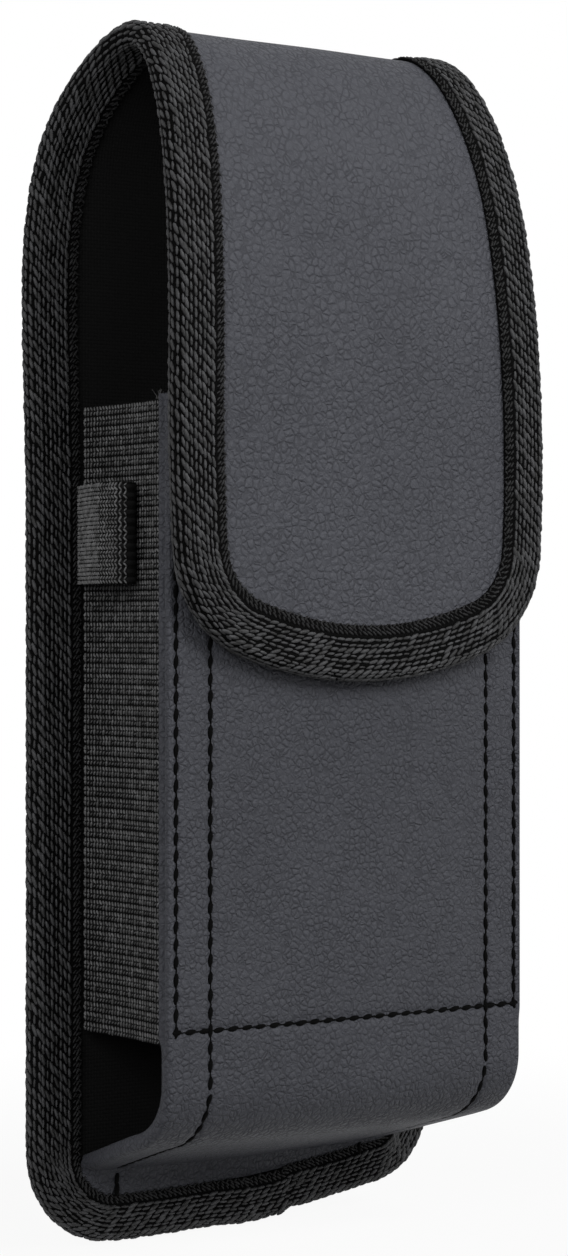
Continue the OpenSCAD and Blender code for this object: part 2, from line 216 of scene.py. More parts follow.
class Effects:
    """The shader groups that more than one finish uses, each built once."""

    def __init__(self) -> None:
        """Builds the groups."""
        self.grain = self._grain()
        self.weave = self._weave()
        self.wear = self._wear()

    def _grain(self) -> bpy.types.NodeTree:
        """Pebbled leather grain: low domes between thin broken creases."""
        s, i, o = new_group(
            "pebbled_grain", "ShaderNodeTree",
            [("Vector", VECTOR, None), ("Cells", FLOAT, 700.0), ("Wander", FLOAT, 0.0009)],
            [("Height", FLOAT), ("Crease", FLOAT)])
        noise = s.add("ShaderNodeTexNoise", {"Vector": i["Vector"], "Scale": 620.0, "Detail": 3.0})
        centred = s.vector("SUBTRACT", noise.outputs["Color"], (0.5, 0.5, 0.5))
        bent = s.vector("ADD", i["Vector"], s.scaled(centred, i["Wander"]))
        domes, creases = [], []
        for factor, edge in ((1.0, 0.17), (1.9, 0.16)):
            scale = s.math("MULTIPLY", i["Cells"], factor)
            cells = s.add("ShaderNodeTexVoronoi", {"Vector": bent, "Scale": scale},
                          feature="DISTANCE_TO_EDGE")
            domes.append(s.ramp(cells.outputs["Distance"], 0.0, 0.42))
            creases.append(s.math("SUBTRACT", 1.0, s.ramp(cells.outputs["Distance"], 0.0, edge)))
        broken = s.add("ShaderNodeTexNoise", {"Vector": i["Vector"], "Scale": 480.0, "Detail": 2.0})
        strong = s.ramp(broken.outputs["Fac"], 0.38, 0.6)
        coarse = s.math("MULTIPLY", creases[0], s.math("MULTIPLY_ADD", strong, 0.45, 0.55))
        fine = s.math("MULTIPLY", creases[1], s.math("MULTIPLY_ADD", strong, -0.2, 0.32))
        crease = s.math("MAXIMUM", coarse, fine)
        dome = s.math("MULTIPLY_ADD", domes[0], 0.55, s.math("MULTIPLY", domes[1], 0.25))
        s.feed(o["Height"], s.math("MULTIPLY_ADD", crease, -0.5, dome))
        s.feed(o["Crease"], crease)
        return s.tree

    def _weave(self) -> bpy.types.NodeTree:
        """Plain weave of rounded threads over and under each other, on a map in metres."""
        s, i, o = new_group(
            "plain_weave", "ShaderNodeTree",
            [("Vector", VECTOR, None), ("Warp", FLOAT, 0.0006), ("Weft", FLOAT, 0.0006)],
            [("Height", FLOAT), ("GapShade", FLOAT)])
        split = s.add("ShaderNodeSeparateXYZ", {0: i["Vector"]})
        across = s.math("DIVIDE", split.outputs[0], i["Warp"])
        along = s.math("DIVIDE", split.outputs[1], i["Weft"])
        warp = s.math("SINE", s.math("MULTIPLY", s.math("FRACT", across), math.pi))
        weft = s.math("SINE", s.math("MULTIPLY", s.math("FRACT", along), math.pi))
        turn = s.math("ADD", s.math("FLOOR", across), s.math("FLOOR", along))
        odd = s.math("FLOORED_MODULO", turn, 2.0)
        over = s.math("MULTIPLY", warp, s.math("MULTIPLY_ADD", weft, 0.5, 0.5))
        under = s.math("MULTIPLY", weft, s.math("MULTIPLY_ADD", warp, 0.5, 0.5))
        pick = s.math("ADD", s.math("MULTIPLY", over, odd),
                      s.math("MULTIPLY", under, s.math("SUBTRACT", 1.0, odd)))
        s.feed(o["Height"], pick)
        # Painted shade: the gap output is 1 in the hollows between the threads, where the cloth's colour is
        # darkened.
        s.feed(o["GapShade"], s.math("SUBTRACT", 1.0, s.ramp(pick, 0.0, 0.5)))
        return s.tree

    def _wear(self) -> bpy.types.NodeTree:
        """Slow and fine changes of tone, as handling leaves them."""
        s, i, o = new_group(
            "handled_tone", "ShaderNodeTree",
            [("Vector", VECTOR, None), ("Slow", FLOAT, 40.0), ("Fine", FLOAT, 2500.0)],
            [("Tone", FLOAT), ("Fuzz", FLOAT)])
        noise = "ShaderNodeTexNoise"
        slow = s.add(noise, {"Vector": i["Vector"], "Scale": i["Slow"], "Detail": 3.0})
        fine = s.add(noise, {"Vector": i["Vector"], "Scale": i["Fine"], "Detail": 2.0})
        s.feed(o["Tone"], s.ramp(slow.outputs["Fac"], 0.3, 0.7))
        s.feed(o["Fuzz"], fine.outputs["Fac"])
        return s.tree


def blank(owner: bpy.types.Material | bpy.types.World) -> Sheet:
    """Empties the node tree of a material or a world, and returns its sheet."""
    owner.use_nodes = True
    owner.node_tree.nodes.clear()
    return Sheet(owner.node_tree)


def grey(value: float, blue: float = 1.0) -> tuple[float, float, float, float]:
    """A near-neutral linear colour."""
    return (value, value * (1 + 0.15 * (blue - 1)), value * blue, 1.0)


@dataclass(frozen=True)
class Finish:
    """What every finish has: a name, two tones, gloss and a height of relief in metres."""

    name: str
    colour: tuple[float, float, float, float]
    shade: tuple[float, float, float, float]
    roughness: float
    relief: float
    specular: float = 0.4

    def begin(self) -> tuple[Sheet, bpy.types.Node, bpy.types.Material]:
        """Makes the material with its Principled shader."""
        material = bpy.data.materials.new(self.name)
        s = blank(material)
        shader = s.add("ShaderNodeBsdfPrincipled", {"Specular IOR Level": self.specular})
        s.add("ShaderNodeOutputMaterial", {"Surface": shader.outputs[0]})
        return s, shader, material

    def tones(self, s: Sheet, fx: Effects, **values: float) -> dict[str, bpy.types.NodeSocket]:
        """Places the group of handled tones on the piece, with some of its values set.

        Args:
            s: The material's sheet.
            fx: The shader groups.
            values: The group's inputs by name.

        Returns:
            The group's outputs by name, and the place on the piece as Object.
        """
        place = s.add("ShaderNodeTexCoord").outputs["Object"]
        wear = s.add("ShaderNodeGroup", node_tree=fx.wear)
        s.feed(wear.inputs["Vector"], place)
        for label, value in values.items():
            wear.inputs[label].default_value = value
        return {"Object": place, "Tone": wear.outputs["Tone"], "Fuzz": wear.outputs["Fuzz"]}

    def gloss(self, s: Sheet, shader: bpy.types.Node, mask: object, by: float) -> None:
        """Makes the surface rougher by a mask."""
        s.feed(shader.inputs["Roughness"], s.math("MULTIPLY_ADD", mask, by, self.roughness))

    def relieve(self, s: Sheet, shader: bpy.types.Node, height: object) -> None:
        """Puts a height through a Bump node into the shader."""
        bump = s.add("ShaderNodeBump", {"Height": height, "Distance": self.relief, "Strength": 1.0})
        s.feed(shader.inputs["Normal"], bump.outputs[0])


@dataclass(frozen=True)
class LeatherFinish(Finish):
    """Grained dark leather, with painted shade darkening its creases."""

    cells: float = 700.0
    crease_shade: float = 0.5
    worn: float = 0.1

    def build(self, fx: Effects) -> bpy.types.Material:
        """Makes the leather's material."""
        s, shader, material = self.begin()
        wear = self.tones(s, fx)
        grain = s.add("ShaderNodeGroup", node_tree=fx.grain)
        s.feed(grain.inputs["Vector"], wear["Object"])
        grain.inputs["Cells"].default_value = self.cells
        # Painted shade: the colour goes to the darker tone in the grain's creases.
        crease = s.math("MULTIPLY", grain.outputs["Crease"], self.crease_shade)
        toned = s.mix(s.math("MULTIPLY", wear["Tone"], self.worn), self.colour, self.shade)
        s.feed(shader.inputs["Base Color"], s.mix(crease, toned, self.shade))
        dull = s.math("MULTIPLY_ADD", wear["Tone"], 0.06, self.roughness)
        s.feed(shader.inputs["Roughness"],
               s.math("MULTIPLY_ADD", grain.outputs["Crease"], 0.15, dull))
        self.relieve(s, shader, grain.outputs["Height"])
        return material


@dataclass(frozen=True)
class ClothFinish(Finish):
    """Plain woven cloth on the piece's own map, with its threads' pitches in metres."""

    warp: float = 0.0006
    weft: float = 0.0006
    worn: float = 0.3

    def build(self, fx: Effects) -> bpy.types.Material:
        """Makes the cloth's material."""
        s, shader, material = self.begin()
        wear = self.tones(s, fx)
        weave = s.add("ShaderNodeGroup", node_tree=fx.weave)
        s.feed(weave.inputs["Vector"], s.add("ShaderNodeTexCoord").outputs["UV"])
        weave.inputs["Warp"].default_value = self.warp
        weave.inputs["Weft"].default_value = self.weft
        toned = s.mix(s.math("MULTIPLY", wear["Tone"], self.worn), self.colour, self.shade)
        # Painted shade between the threads: the colour goes to the darker tone in the weave's gaps.
        s.feed(shader.inputs["Base Color"], s.mix(weave.outputs["GapShade"], toned, self.shade))
        self.gloss(s, shader, wear["Fuzz"], 0.15)
        self.relieve(s, shader, s.math("MULTIPLY_ADD", wear["Fuzz"], 0.35, weave.outputs["Height"]))
        return material


@dataclass(frozen=True)
class PlainFinish(Finish):
    """Plated steel, board or foam: an even stuff with a fine tone and surface."""

    metallic: float = 0.0
    slow: float = 40.0
    fine: float = 2500.0

    def build(self, fx: Effects) -> bpy.types.Material:
        """Makes the material."""
        s, shader, material = self.begin()
        wear = self.tones(s, fx, Slow=self.slow, Fine=self.fine)
        shader.inputs["Metallic"].default_value = self.metallic
        s.feed(shader.inputs["Base Color"], s.mix(wear["Tone"], self.colour, self.shade))
        self.gloss(s, shader, wear["Fuzz"], 0.2)
        self.relieve(s, shader, wear["Fuzz"])
        return material


@dataclass(frozen=True)
class YarnFinish(PlainFinish):
    """Spun yarn: fuzzy, and uneven from place to place within a few millimetres."""

    slow: float = 700.0
    fine: float = 5000.0


class Wardrobe:
    """All the finishes of the holster. The leather's cells are counted per metre."""

    def __init__(self) -> None:
        """Builds each material once."""
        fx = Effects()
        self.leather = LeatherFinish("grained_leather", grey(0.084, 1.2), grey(0.034, 1.2), 0.55,
                                     0.0002, specular=0.2, cells=760.0).build(fx)
        # The front's leather is the flap's leather made darker, which paints shade on the front strip and
        # clip patch; its finer grain is its own.
        self.front_leather_shaded = LeatherFinish("fine_leather_painted_shade", grey(0.071, 1.21), grey(0.028, 1.2),
                                           0.52, 0.0002, specular=0.2, cells=900.0).build(fx)
        # The tape's ground is near black, far darker than its yarn: painted shade in the gaps between the
        # floats.
        self.tape = ClothFinish("tape_ground_painted_shade", grey(0.004), grey(0.002), 0.9, 0.0001,
                                specular=0.05, warp=0.0005, weft=0.0005).build(fx)
        self.yarn = YarnFinish("tape_yarn", grey(0.062, 1.06), grey(0.008), 0.45, 0.00005,
                               specular=0.3).build(fx)
        self.selvage = YarnFinish("tape_selvage", grey(0.02, 1.05), grey(0.004), 0.55, 0.00004,
                                  specular=0.2).build(fx)
        # The elastic's sheet is darker than its ribs: painted shade between the ribs.
        self.elastic = ClothFinish("elastic_ground_painted_shade", grey(0.006), grey(0.003), 0.8, 0.0001,
                                   specular=0.06, warp=0.0004, weft=0.0008).build(fx)
        self.rib = YarnFinish("elastic_rib", grey(0.014, 1.02), grey(0.007), 0.7, 0.00006,
                              specular=0.08).build(fx)
        self.knit = YarnFinish("elastic_knit", grey(0.235, 1.02), grey(0.1), 0.6, 0.00004,
                               specular=0.25).build(fx)
        self.loose_thread = YarnFinish("loose_thread", grey(0.12), grey(0.06), 0.7,
                                       0.00002).build(fx)
        self.lining = ClothFinish("woven_lining", grey(0.014), grey(0.006), 0.8, 0.00008,
                                  specular=0.06).build(fx)
        self.webbing = ClothFinish("loop_webbing", grey(0.02), grey(0.007), 0.65, 0.00015,
                                   warp=0.0009, weft=0.0013).build(fx)
        self.thread = YarnFinish("sewing_thread", grey(0.0025), grey(0.0015), 0.6, 0.00003,
                                 specular=0.03).build(fx)
        self.steel = PlainFinish("plated_steel", grey(0.5), grey(0.4), 0.22, 0.000004,
                                 metallic=1.0).build(fx)
        self.board = PlainFinish("stiff_board", grey(0.08), grey(0.06), 0.8, 0.00002).build(fx)
        self.foam = PlainFinish("foam_sheet", grey(0.05), grey(0.04), 0.9, 0.00006).build(fx)


def linked(name: str, data: bpy.types.ID) -> bpy.types.Object:
    """Makes an object of its data and links it to the scene."""
    item = bpy.data.objects.new(name, data)
    bpy.context.scene.collection.objects.link(item)
    return item


def make_piece(name: str, points: np.ndarray, faces: list, material: bpy.types.Material,
               uvs: np.ndarray | None = None, smooth: bool = True) -> bpy.types.Object:
    """Makes an object at the origin from points in millimetres.

    Args:
        name: The piece's name.
        points: One row for each vertex.
        faces: Lists of vertex numbers.
        material: Its finish.
        uvs: One row for each vertex, in millimetres.
        smooth: Whether it is shaded smooth.

    Returns:
        The new object.
    """
    mesh = bpy.data.meshes.new(name)
    mesh.from_pydata((np.asarray(points) * MM).tolist(), [], faces)
    mesh.validate()
    if uvs is not None:
        layer = mesh.uv_layers.new(name="map")
        index = np.zeros(len(mesh.loops), np.int32)
        mesh.loops.foreach_get("vertex_index", index)
        layer.data.foreach_set("uv", (np.asarray(uvs)[index] * MM).astype(np.float32).ravel())
    mesh.materials.append(material)
    mesh.polygons.foreach_set("use_smooth", [smooth] * len(mesh.polygons))
    return linked(name, mesh)


def outward(piece: bpy.types.Object) -> bpy.types.Object:
    """Turns a closed mesh's faces outwards, by the sign of its volume."""
    mesh = piece.data
    mesh.calc_loop_triangles()
    co = np.array([v.co for v in mesh.vertices])
    tri = np.array([t.vertices for t in mesh.loop_triangles])
    volume = np.einsum("ij,ij->i", co[tri[:, 0]], np.cross(co[tri[:, 1]], co[tri[:, 2]])).sum()
    if volume < 0:
        mesh.flip_normals()
    return piece


def tube_faces(rows: int, ring: int, loop: bool) -> list:
    """Faces of a swept closed section.

    Args:
        rows: How many sections there are.
        ring: How many points each section has.
        loop: Whether the last section joins the first. If not, both ends are closed.

    Returns:
        The faces.
    """
    faces = []
    for r in range(rows if loop else rows - 1):
        a, b = r * ring, ((r + 1) % rows) * ring
        for k in range(ring):
            n = (k + 1) % ring
            faces.append((a + k, a + n, b + n, b + k))
    if not loop:
        faces.append(tuple(reversed(range(ring))))
        faces.append(tuple(range((rows - 1) * ring, rows * ring)))
    return faces


def slab_faces(rows: int, cols: int) -> list:
    """Faces of a closed slab of two grids, outer points first, then inner ones."""
    at = lambda side, r, c: side * rows * cols + r * cols + c
    faces = []
    for r in range(rows - 1):
        for c in range(cols - 1):
            faces.append((at(0, r, c), at(0, r, c + 1), at(0, r + 1, c + 1), at(0, r + 1, c)))
            faces.append((at(1, r, c), at(1, r + 1, c), at(1, r + 1, c + 1), at(1, r, c + 1)))
    for r in range(rows - 1):
        for c in (0, cols - 1):
            quad = (at(0, r, c), at(0, r + 1, c), at(1, r + 1, c), at(1, r, c))
            faces.append(quad if c == 0 else quad[::-1])
    for c in range(cols - 1):
        for r in (0, rows - 1):
            quad = (at(0, r, c + 1), at(0, r, c), at(1, r, c), at(1, r, c + 1))
            faces.append(quad if r == 0 else quad[::-1])
    return faces


def slab(name: str, outer: np.ndarray, inner: np.ndarray, uv: np.ndarray, rows: int,
         material: bpy.types.Material) -> bpy.types.Object:
    """Makes a closed slab of two grids of points, with the same map on both faces.

    Args:
        name: The piece's name.
        outer: Points of the outer face, row by row.
        inner: Points of the inner face.
        uv: One row for each point of a face, in millimetres.
        rows: How many rows each grid has.
        material: Its finish.

    Returns:
        The piece.
    """
    faces = slab_faces(rows, len(outer) // rows)
    return outward(make_piece(name, np.vstack([outer, inner]), faces, material,
                              np.vstack([uv, uv])))


def unit(vectors: np.ndarray) -> np.ndarray:
    """Brings each vector to a length of 1."""
    return vectors / np.linalg.norm(vectors, axis=-1, keepdims=True)


def run_along(line: np.ndarray) -> np.ndarray:
    """Length along a line from its first point to each point."""
    return np.r_[0, np.cumsum(np.linalg.norm(np.diff(line, axis=0), axis=1))]


def sideways(line: np.ndarray) -> np.ndarray:
    """Unit normals of a flat line, to the right of its way."""
    ahead = unit(np.gradient(line, axis=0))
    return np.stack([ahead[:, 1], -ahead[:, 0]], 1)


def flat_map(across: np.ndarray, along: np.ndarray) -> np.ndarray:
    """A map whose rows go along and whose columns go across."""
    return np.stack(np.meshgrid(across, along), -1).reshape(-1, 2)


def gauss(off: np.ndarray, width: float) -> np.ndarray:
    """A bell of height 1 at 0."""
    return np.exp(-0.5 * (off / width) ** 2)


def eased(share: np.ndarray) -> np.ndarray:
    """A share kept between 0 and 1, with a soft start and end."""
    share = np.clip(share, 0, 1)
    return share * share * (3 - 2 * share)


def on_pouch(slot: Slot, *pieces: bpy.types.Object) -> None:
    """Lets pieces ride on the pouch."""
    for piece in pieces:
        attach(piece, Body.POUCH.value)


def even(points: np.ndarray, step: float, closed: bool = False) -> np.ndarray:
    """Puts points at even distances along a line."""
    line = np.vstack([points, points[:1]]) if closed else np.asarray(points, float)
    run = run_along(line)
    count = max(int(round(run[-1] / step)), 2)
    places = np.linspace(0, run[-1], count + 1)[: count if closed else count + 1]
    return np.stack([np.interp(places, run, line[:, k]) for k in range(line.shape[1])], 1)


@dataclass
class Guide:
    """Lines on a surface, with the surface's normal at each point, for Geometry Nodes to follow."""

    points: list = field(default_factory=list)
    normals: list = field(default_factory=list)
    leans: list = field(default_factory=list)
    edges: list = field(default_factory=list)

    def line(self, points: np.ndarray, normals: np.ndarray, closed: bool = False,
             lean: float = 1.0) -> None:
        """Adds one line. Its stitches lean by the tree's slant times lean."""
        first, count = len(self.points), len(points)
        self.points += [tuple(p) for p in points]
        self.normals += [tuple(n) for n in normals]
        self.leans += [lean] * count
        self.edges += [(first + k, first + k + 1) for k in range(count - 1)]
        if closed:
            self.edges.append((first + count - 1, first))

    def piece(self, name: str) -> bpy.types.Object:
        """Makes the guide an object with its normals as an attribute."""
        mesh = bpy.data.meshes.new(name)
        mesh.from_pydata((np.array(self.points) * MM).tolist(), self.edges, [])
        face = mesh.attributes.new("face", "FLOAT_VECTOR", "POINT")
        face.data.foreach_set("vector", np.array(self.normals, np.float32).ravel())
        lean = mesh.attributes.new("lean", "FLOAT", "POINT")
        lean.data.foreach_set("value", np.array(self.leans, np.float32))
        return linked(name, mesh)


@dataclass(frozen=True)
class Stitch:
    """Sizes of one stitch or yarn float, and how a run of them lies. Angles are in radians."""

    length: float
    width: float
    height: float
    pitch: float = 2.0
    slant: float = 0.0
    zigzag: float = 0.0
    lift: float = 0.0
    jitter: float = 0.05
    placed: bool = False
    seed: int = 1
    segments: int = 5
    rings: int = 3


class Workshop:
    """The Geometry Nodes trees, and the way a guide becomes a plain mesh."""

    def __init__(self) -> None:
        """Builds the trees."""
        self.runs = self._runs()
        self.cords = self._cords()

    def _runs(self) -> bpy.types.NodeTree:
        """Stitches or yarn floats along the guide, at even steps or at the guide's own points."""
        s, i, o = new_group(
            "stitch_run", "GeometryNodeTree",
            [("Geometry", GEOMETRY, None), ("Pitch", FLOAT, 0.002), ("Length", FLOAT, 0.002),
             ("Width", FLOAT, 0.001), ("Height", FLOAT, 0.0005), ("Slant", FLOAT, 0.0),
             ("Zigzag", FLOAT, 0.0), ("Lift", FLOAT, 0.0), ("Jitter", FLOAT, 0.05),
             ("Placed", "NodeSocketBool", False),
             ("Seed", "NodeSocketInt", 1), ("Segments", "NodeSocketInt", 5),
             ("Rings", "NodeSocketInt", 3), ("Material", "NodeSocketMaterial", None)],
            [("Geometry", GEOMETRY)])
        curve = s.add("GeometryNodeMeshToCurve", {0: i["Geometry"]})
        even_run = s.add("GeometryNodeResampleCurve",
                         {"Curve": curve.outputs[0], "Length": i["Pitch"]}, mode="LENGTH")
        chosen = s.add("GeometryNodeSwitch", {"Switch": i["Placed"], "False": even_run.outputs[0],
                                              "True": curve.outputs[0]}, input_type="GEOMETRY")
        face = s.add("GeometryNodeInputNamedAttribute", {"Name": "face"}, data_type="FLOAT_VECTOR")
        normal = face.outputs["Attribute"]
        lifted = s.add("GeometryNodeSetPosition",
                       {"Geometry": chosen.outputs[0], "Offset": s.scaled(normal, i["Lift"])})
        ball = s.add("GeometryNodeMeshUVSphere",
                     {"Segments": i["Segments"], "Rings": i["Rings"], "Radius": 0.5})
        lying = s.add("GeometryNodeTransform", {"Geometry": ball.outputs[0],
                                                "Rotation": (0.0, math.pi / 2, 0.0)})
        size = s.add("ShaderNodeCombineXYZ", {0: i["Length"], 1: i["Width"], 2: i["Height"]})
        shape = s.add("GeometryNodeTransform",
                      {"Geometry": lying.outputs[0], "Scale": size.outputs[0]})
        soft = s.add("GeometryNodeSetShadeSmooth", {"Geometry": shape.outputs[0]})
        along = s.add("FunctionNodeAlignRotationToVector",
                      {"Vector": s.add("GeometryNodeInputTangent").outputs[0]}, axis="X")
        upright = s.add("FunctionNodeAlignRotationToVector",
                        {"Rotation": along.outputs[0], "Vector": normal}, axis="Z", pivot_axis="X")
        index = s.add("GeometryNodeInputIndex").outputs[0]
        side = s.math("MULTIPLY_ADD", s.math("FLOORED_MODULO", index, 2.0), -2.0, 1.0)
        swing = s.add("FunctionNodeRandomValue", {2: -1.0, 3: 1.0, "ID": index, "Seed": i["Seed"]})
        loose = s.math("MULTIPLY", swing.outputs[1], i["Jitter"])
        lean = s.add("GeometryNodeInputNamedAttribute", {"Name": "lean"}, data_type="FLOAT")
        slant = s.math("MULTIPLY", i["Slant"], lean.outputs["Attribute"])
        angle = s.math("ADD", s.math("MULTIPLY_ADD", side, i["Zigzag"], slant), loose)
        turn = s.add("FunctionNodeAxisAngleToRotation", {"Axis": (0.0, 0.0, 1.0), "Angle": angle})
        turned = s.add("FunctionNodeRotateRotation",
                       {"Rotation": upright.outputs[0], "Rotate By": turn.outputs[0]},
                       rotation_space="LOCAL")
        laid = s.add("GeometryNodeInstanceOnPoints",
                     {"Points": lifted.outputs[0], "Instance": soft.outputs[0],
                      "Rotation": turned.outputs[0], "Scale": s.math("ADD", 1.0, loose)})
        self._end(s, i, o, laid.outputs[0])
        return s.tree

    def _cords(self) -> bpy.types.NodeTree:
        """Flattened round cords stacked up the guide, as the ribs of an elastic."""
        s, i, o = new_group(
            "rib_stack", "GeometryNodeTree",
            [("Geometry", GEOMETRY, None), ("Count", "NodeSocketInt", 10),
             ("Pitch", FLOAT, 0.0016), ("Width", FLOAT, 0.0018), ("Height", FLOAT, 0.0014),
             ("Material", "NodeSocketMaterial", None)],
            [("Geometry", GEOMETRY)])
        curve = s.add("GeometryNodeMeshToCurve", {0: i["Geometry"]})
        stack = s.add("GeometryNodeMeshLine",
                      {"Count": i["Count"],
                       "Offset": s.add("ShaderNodeCombineXYZ", {2: i["Pitch"]}).outputs[0]})
        laid = s.add("GeometryNodeInstanceOnPoints",
                     {"Points": stack.outputs[0], "Instance": curve.outputs[0]})
        real = s.add("GeometryNodeRealizeInstances", {0: laid.outputs[0]})
        ring = s.add("GeometryNodeCurvePrimitiveCircle", {"Resolution": 8, "Radius": 0.5})
        size = s.add("ShaderNodeCombineXYZ", {0: i["Width"], 1: i["Height"], 2: 1.0})
        oval = s.add("GeometryNodeTransform",
                     {"Geometry": ring.outputs[0], "Scale": size.outputs[0]})
        upright = s.add("GeometryNodeSetCurveNormal", {0: real.outputs[0]}, mode="Z_UP")
        swept = s.add("GeometryNodeCurveToMesh", {"Curve": upright.outputs[0],
                                                  "Profile Curve": oval.outputs[0],
                                                  "Fill Caps": True})
        soft = s.add("GeometryNodeSetShadeSmooth", {"Geometry": swept.outputs[0]})
        self._end(s, i, o, soft.outputs[0])
        return s.tree

    @staticmethod
    def _end(s: Sheet, i: dict, o: dict, shape: bpy.types.NodeSocket) -> None:
        """Ends a tree in Realize Instances and Set Material."""
        real = s.add("GeometryNodeRealizeInstances", {0: shape})
        dressed = s.add("GeometryNodeSetMaterial",
                        {"Geometry": real.outputs[0], "Material": i["Material"]})
        s.feed(o["Geometry"], dressed.outputs[0])

    def sew(self, guide: Guide, name: str, stitch: Stitch,
            material: bpy.types.Material) -> bpy.types.Object:
        """Lays one kind of stitch or yarn along a guide.

        Args:
            guide: The lines to follow.
            name: The piece's name.
            stitch: The stitch. Where it is placed, the guide's points are the stitches' places.
            material: Its finish.

        Returns:
            The finished piece.
        """
        return self.follow(
            guide, name, self.runs, Pitch=stitch.pitch * MM, Length=stitch.length * MM,
            Width=stitch.width * MM, Height=stitch.height * MM, Slant=stitch.slant,
            Zigzag=stitch.zigzag, Lift=stitch.lift * MM, Jitter=stitch.jitter,
            Placed=stitch.placed, Seed=stitch.seed, Segments=stitch.segments, Rings=stitch.rings,
            Material=material)

    def follow(self, guide: Guide, name: str, tree: bpy.types.NodeTree,
               **values: object) -> bpy.types.Object:
        """Runs a tree on a guide and keeps the result as a plain mesh.

        Args:
            guide: The lines to follow.
            name: The piece's name.
            tree: One of the workshop's trees.
            values: The tree's inputs by name, lengths in metres.

        Returns:
            The finished piece.
        """
        piece = guide.piece(name)
        worker = piece.modifiers.new("work", "NODES")
        worker.node_group = tree
        sockets = {t.name: t.identifier for t in tree.interface.items_tree
                   if t.item_type == "SOCKET" and t.in_out == "INPUT"}
        for label, value in values.items():
            worker[sockets[label]] = value
        result = bpy.data.meshes.new_from_object(
            piece.evaluated_get(bpy.context.evaluated_depsgraph_get()))
        piece.modifiers.clear()
        piece.data = result
        log.info("%s: %d faces", name, len(result.polygons))
        return piece


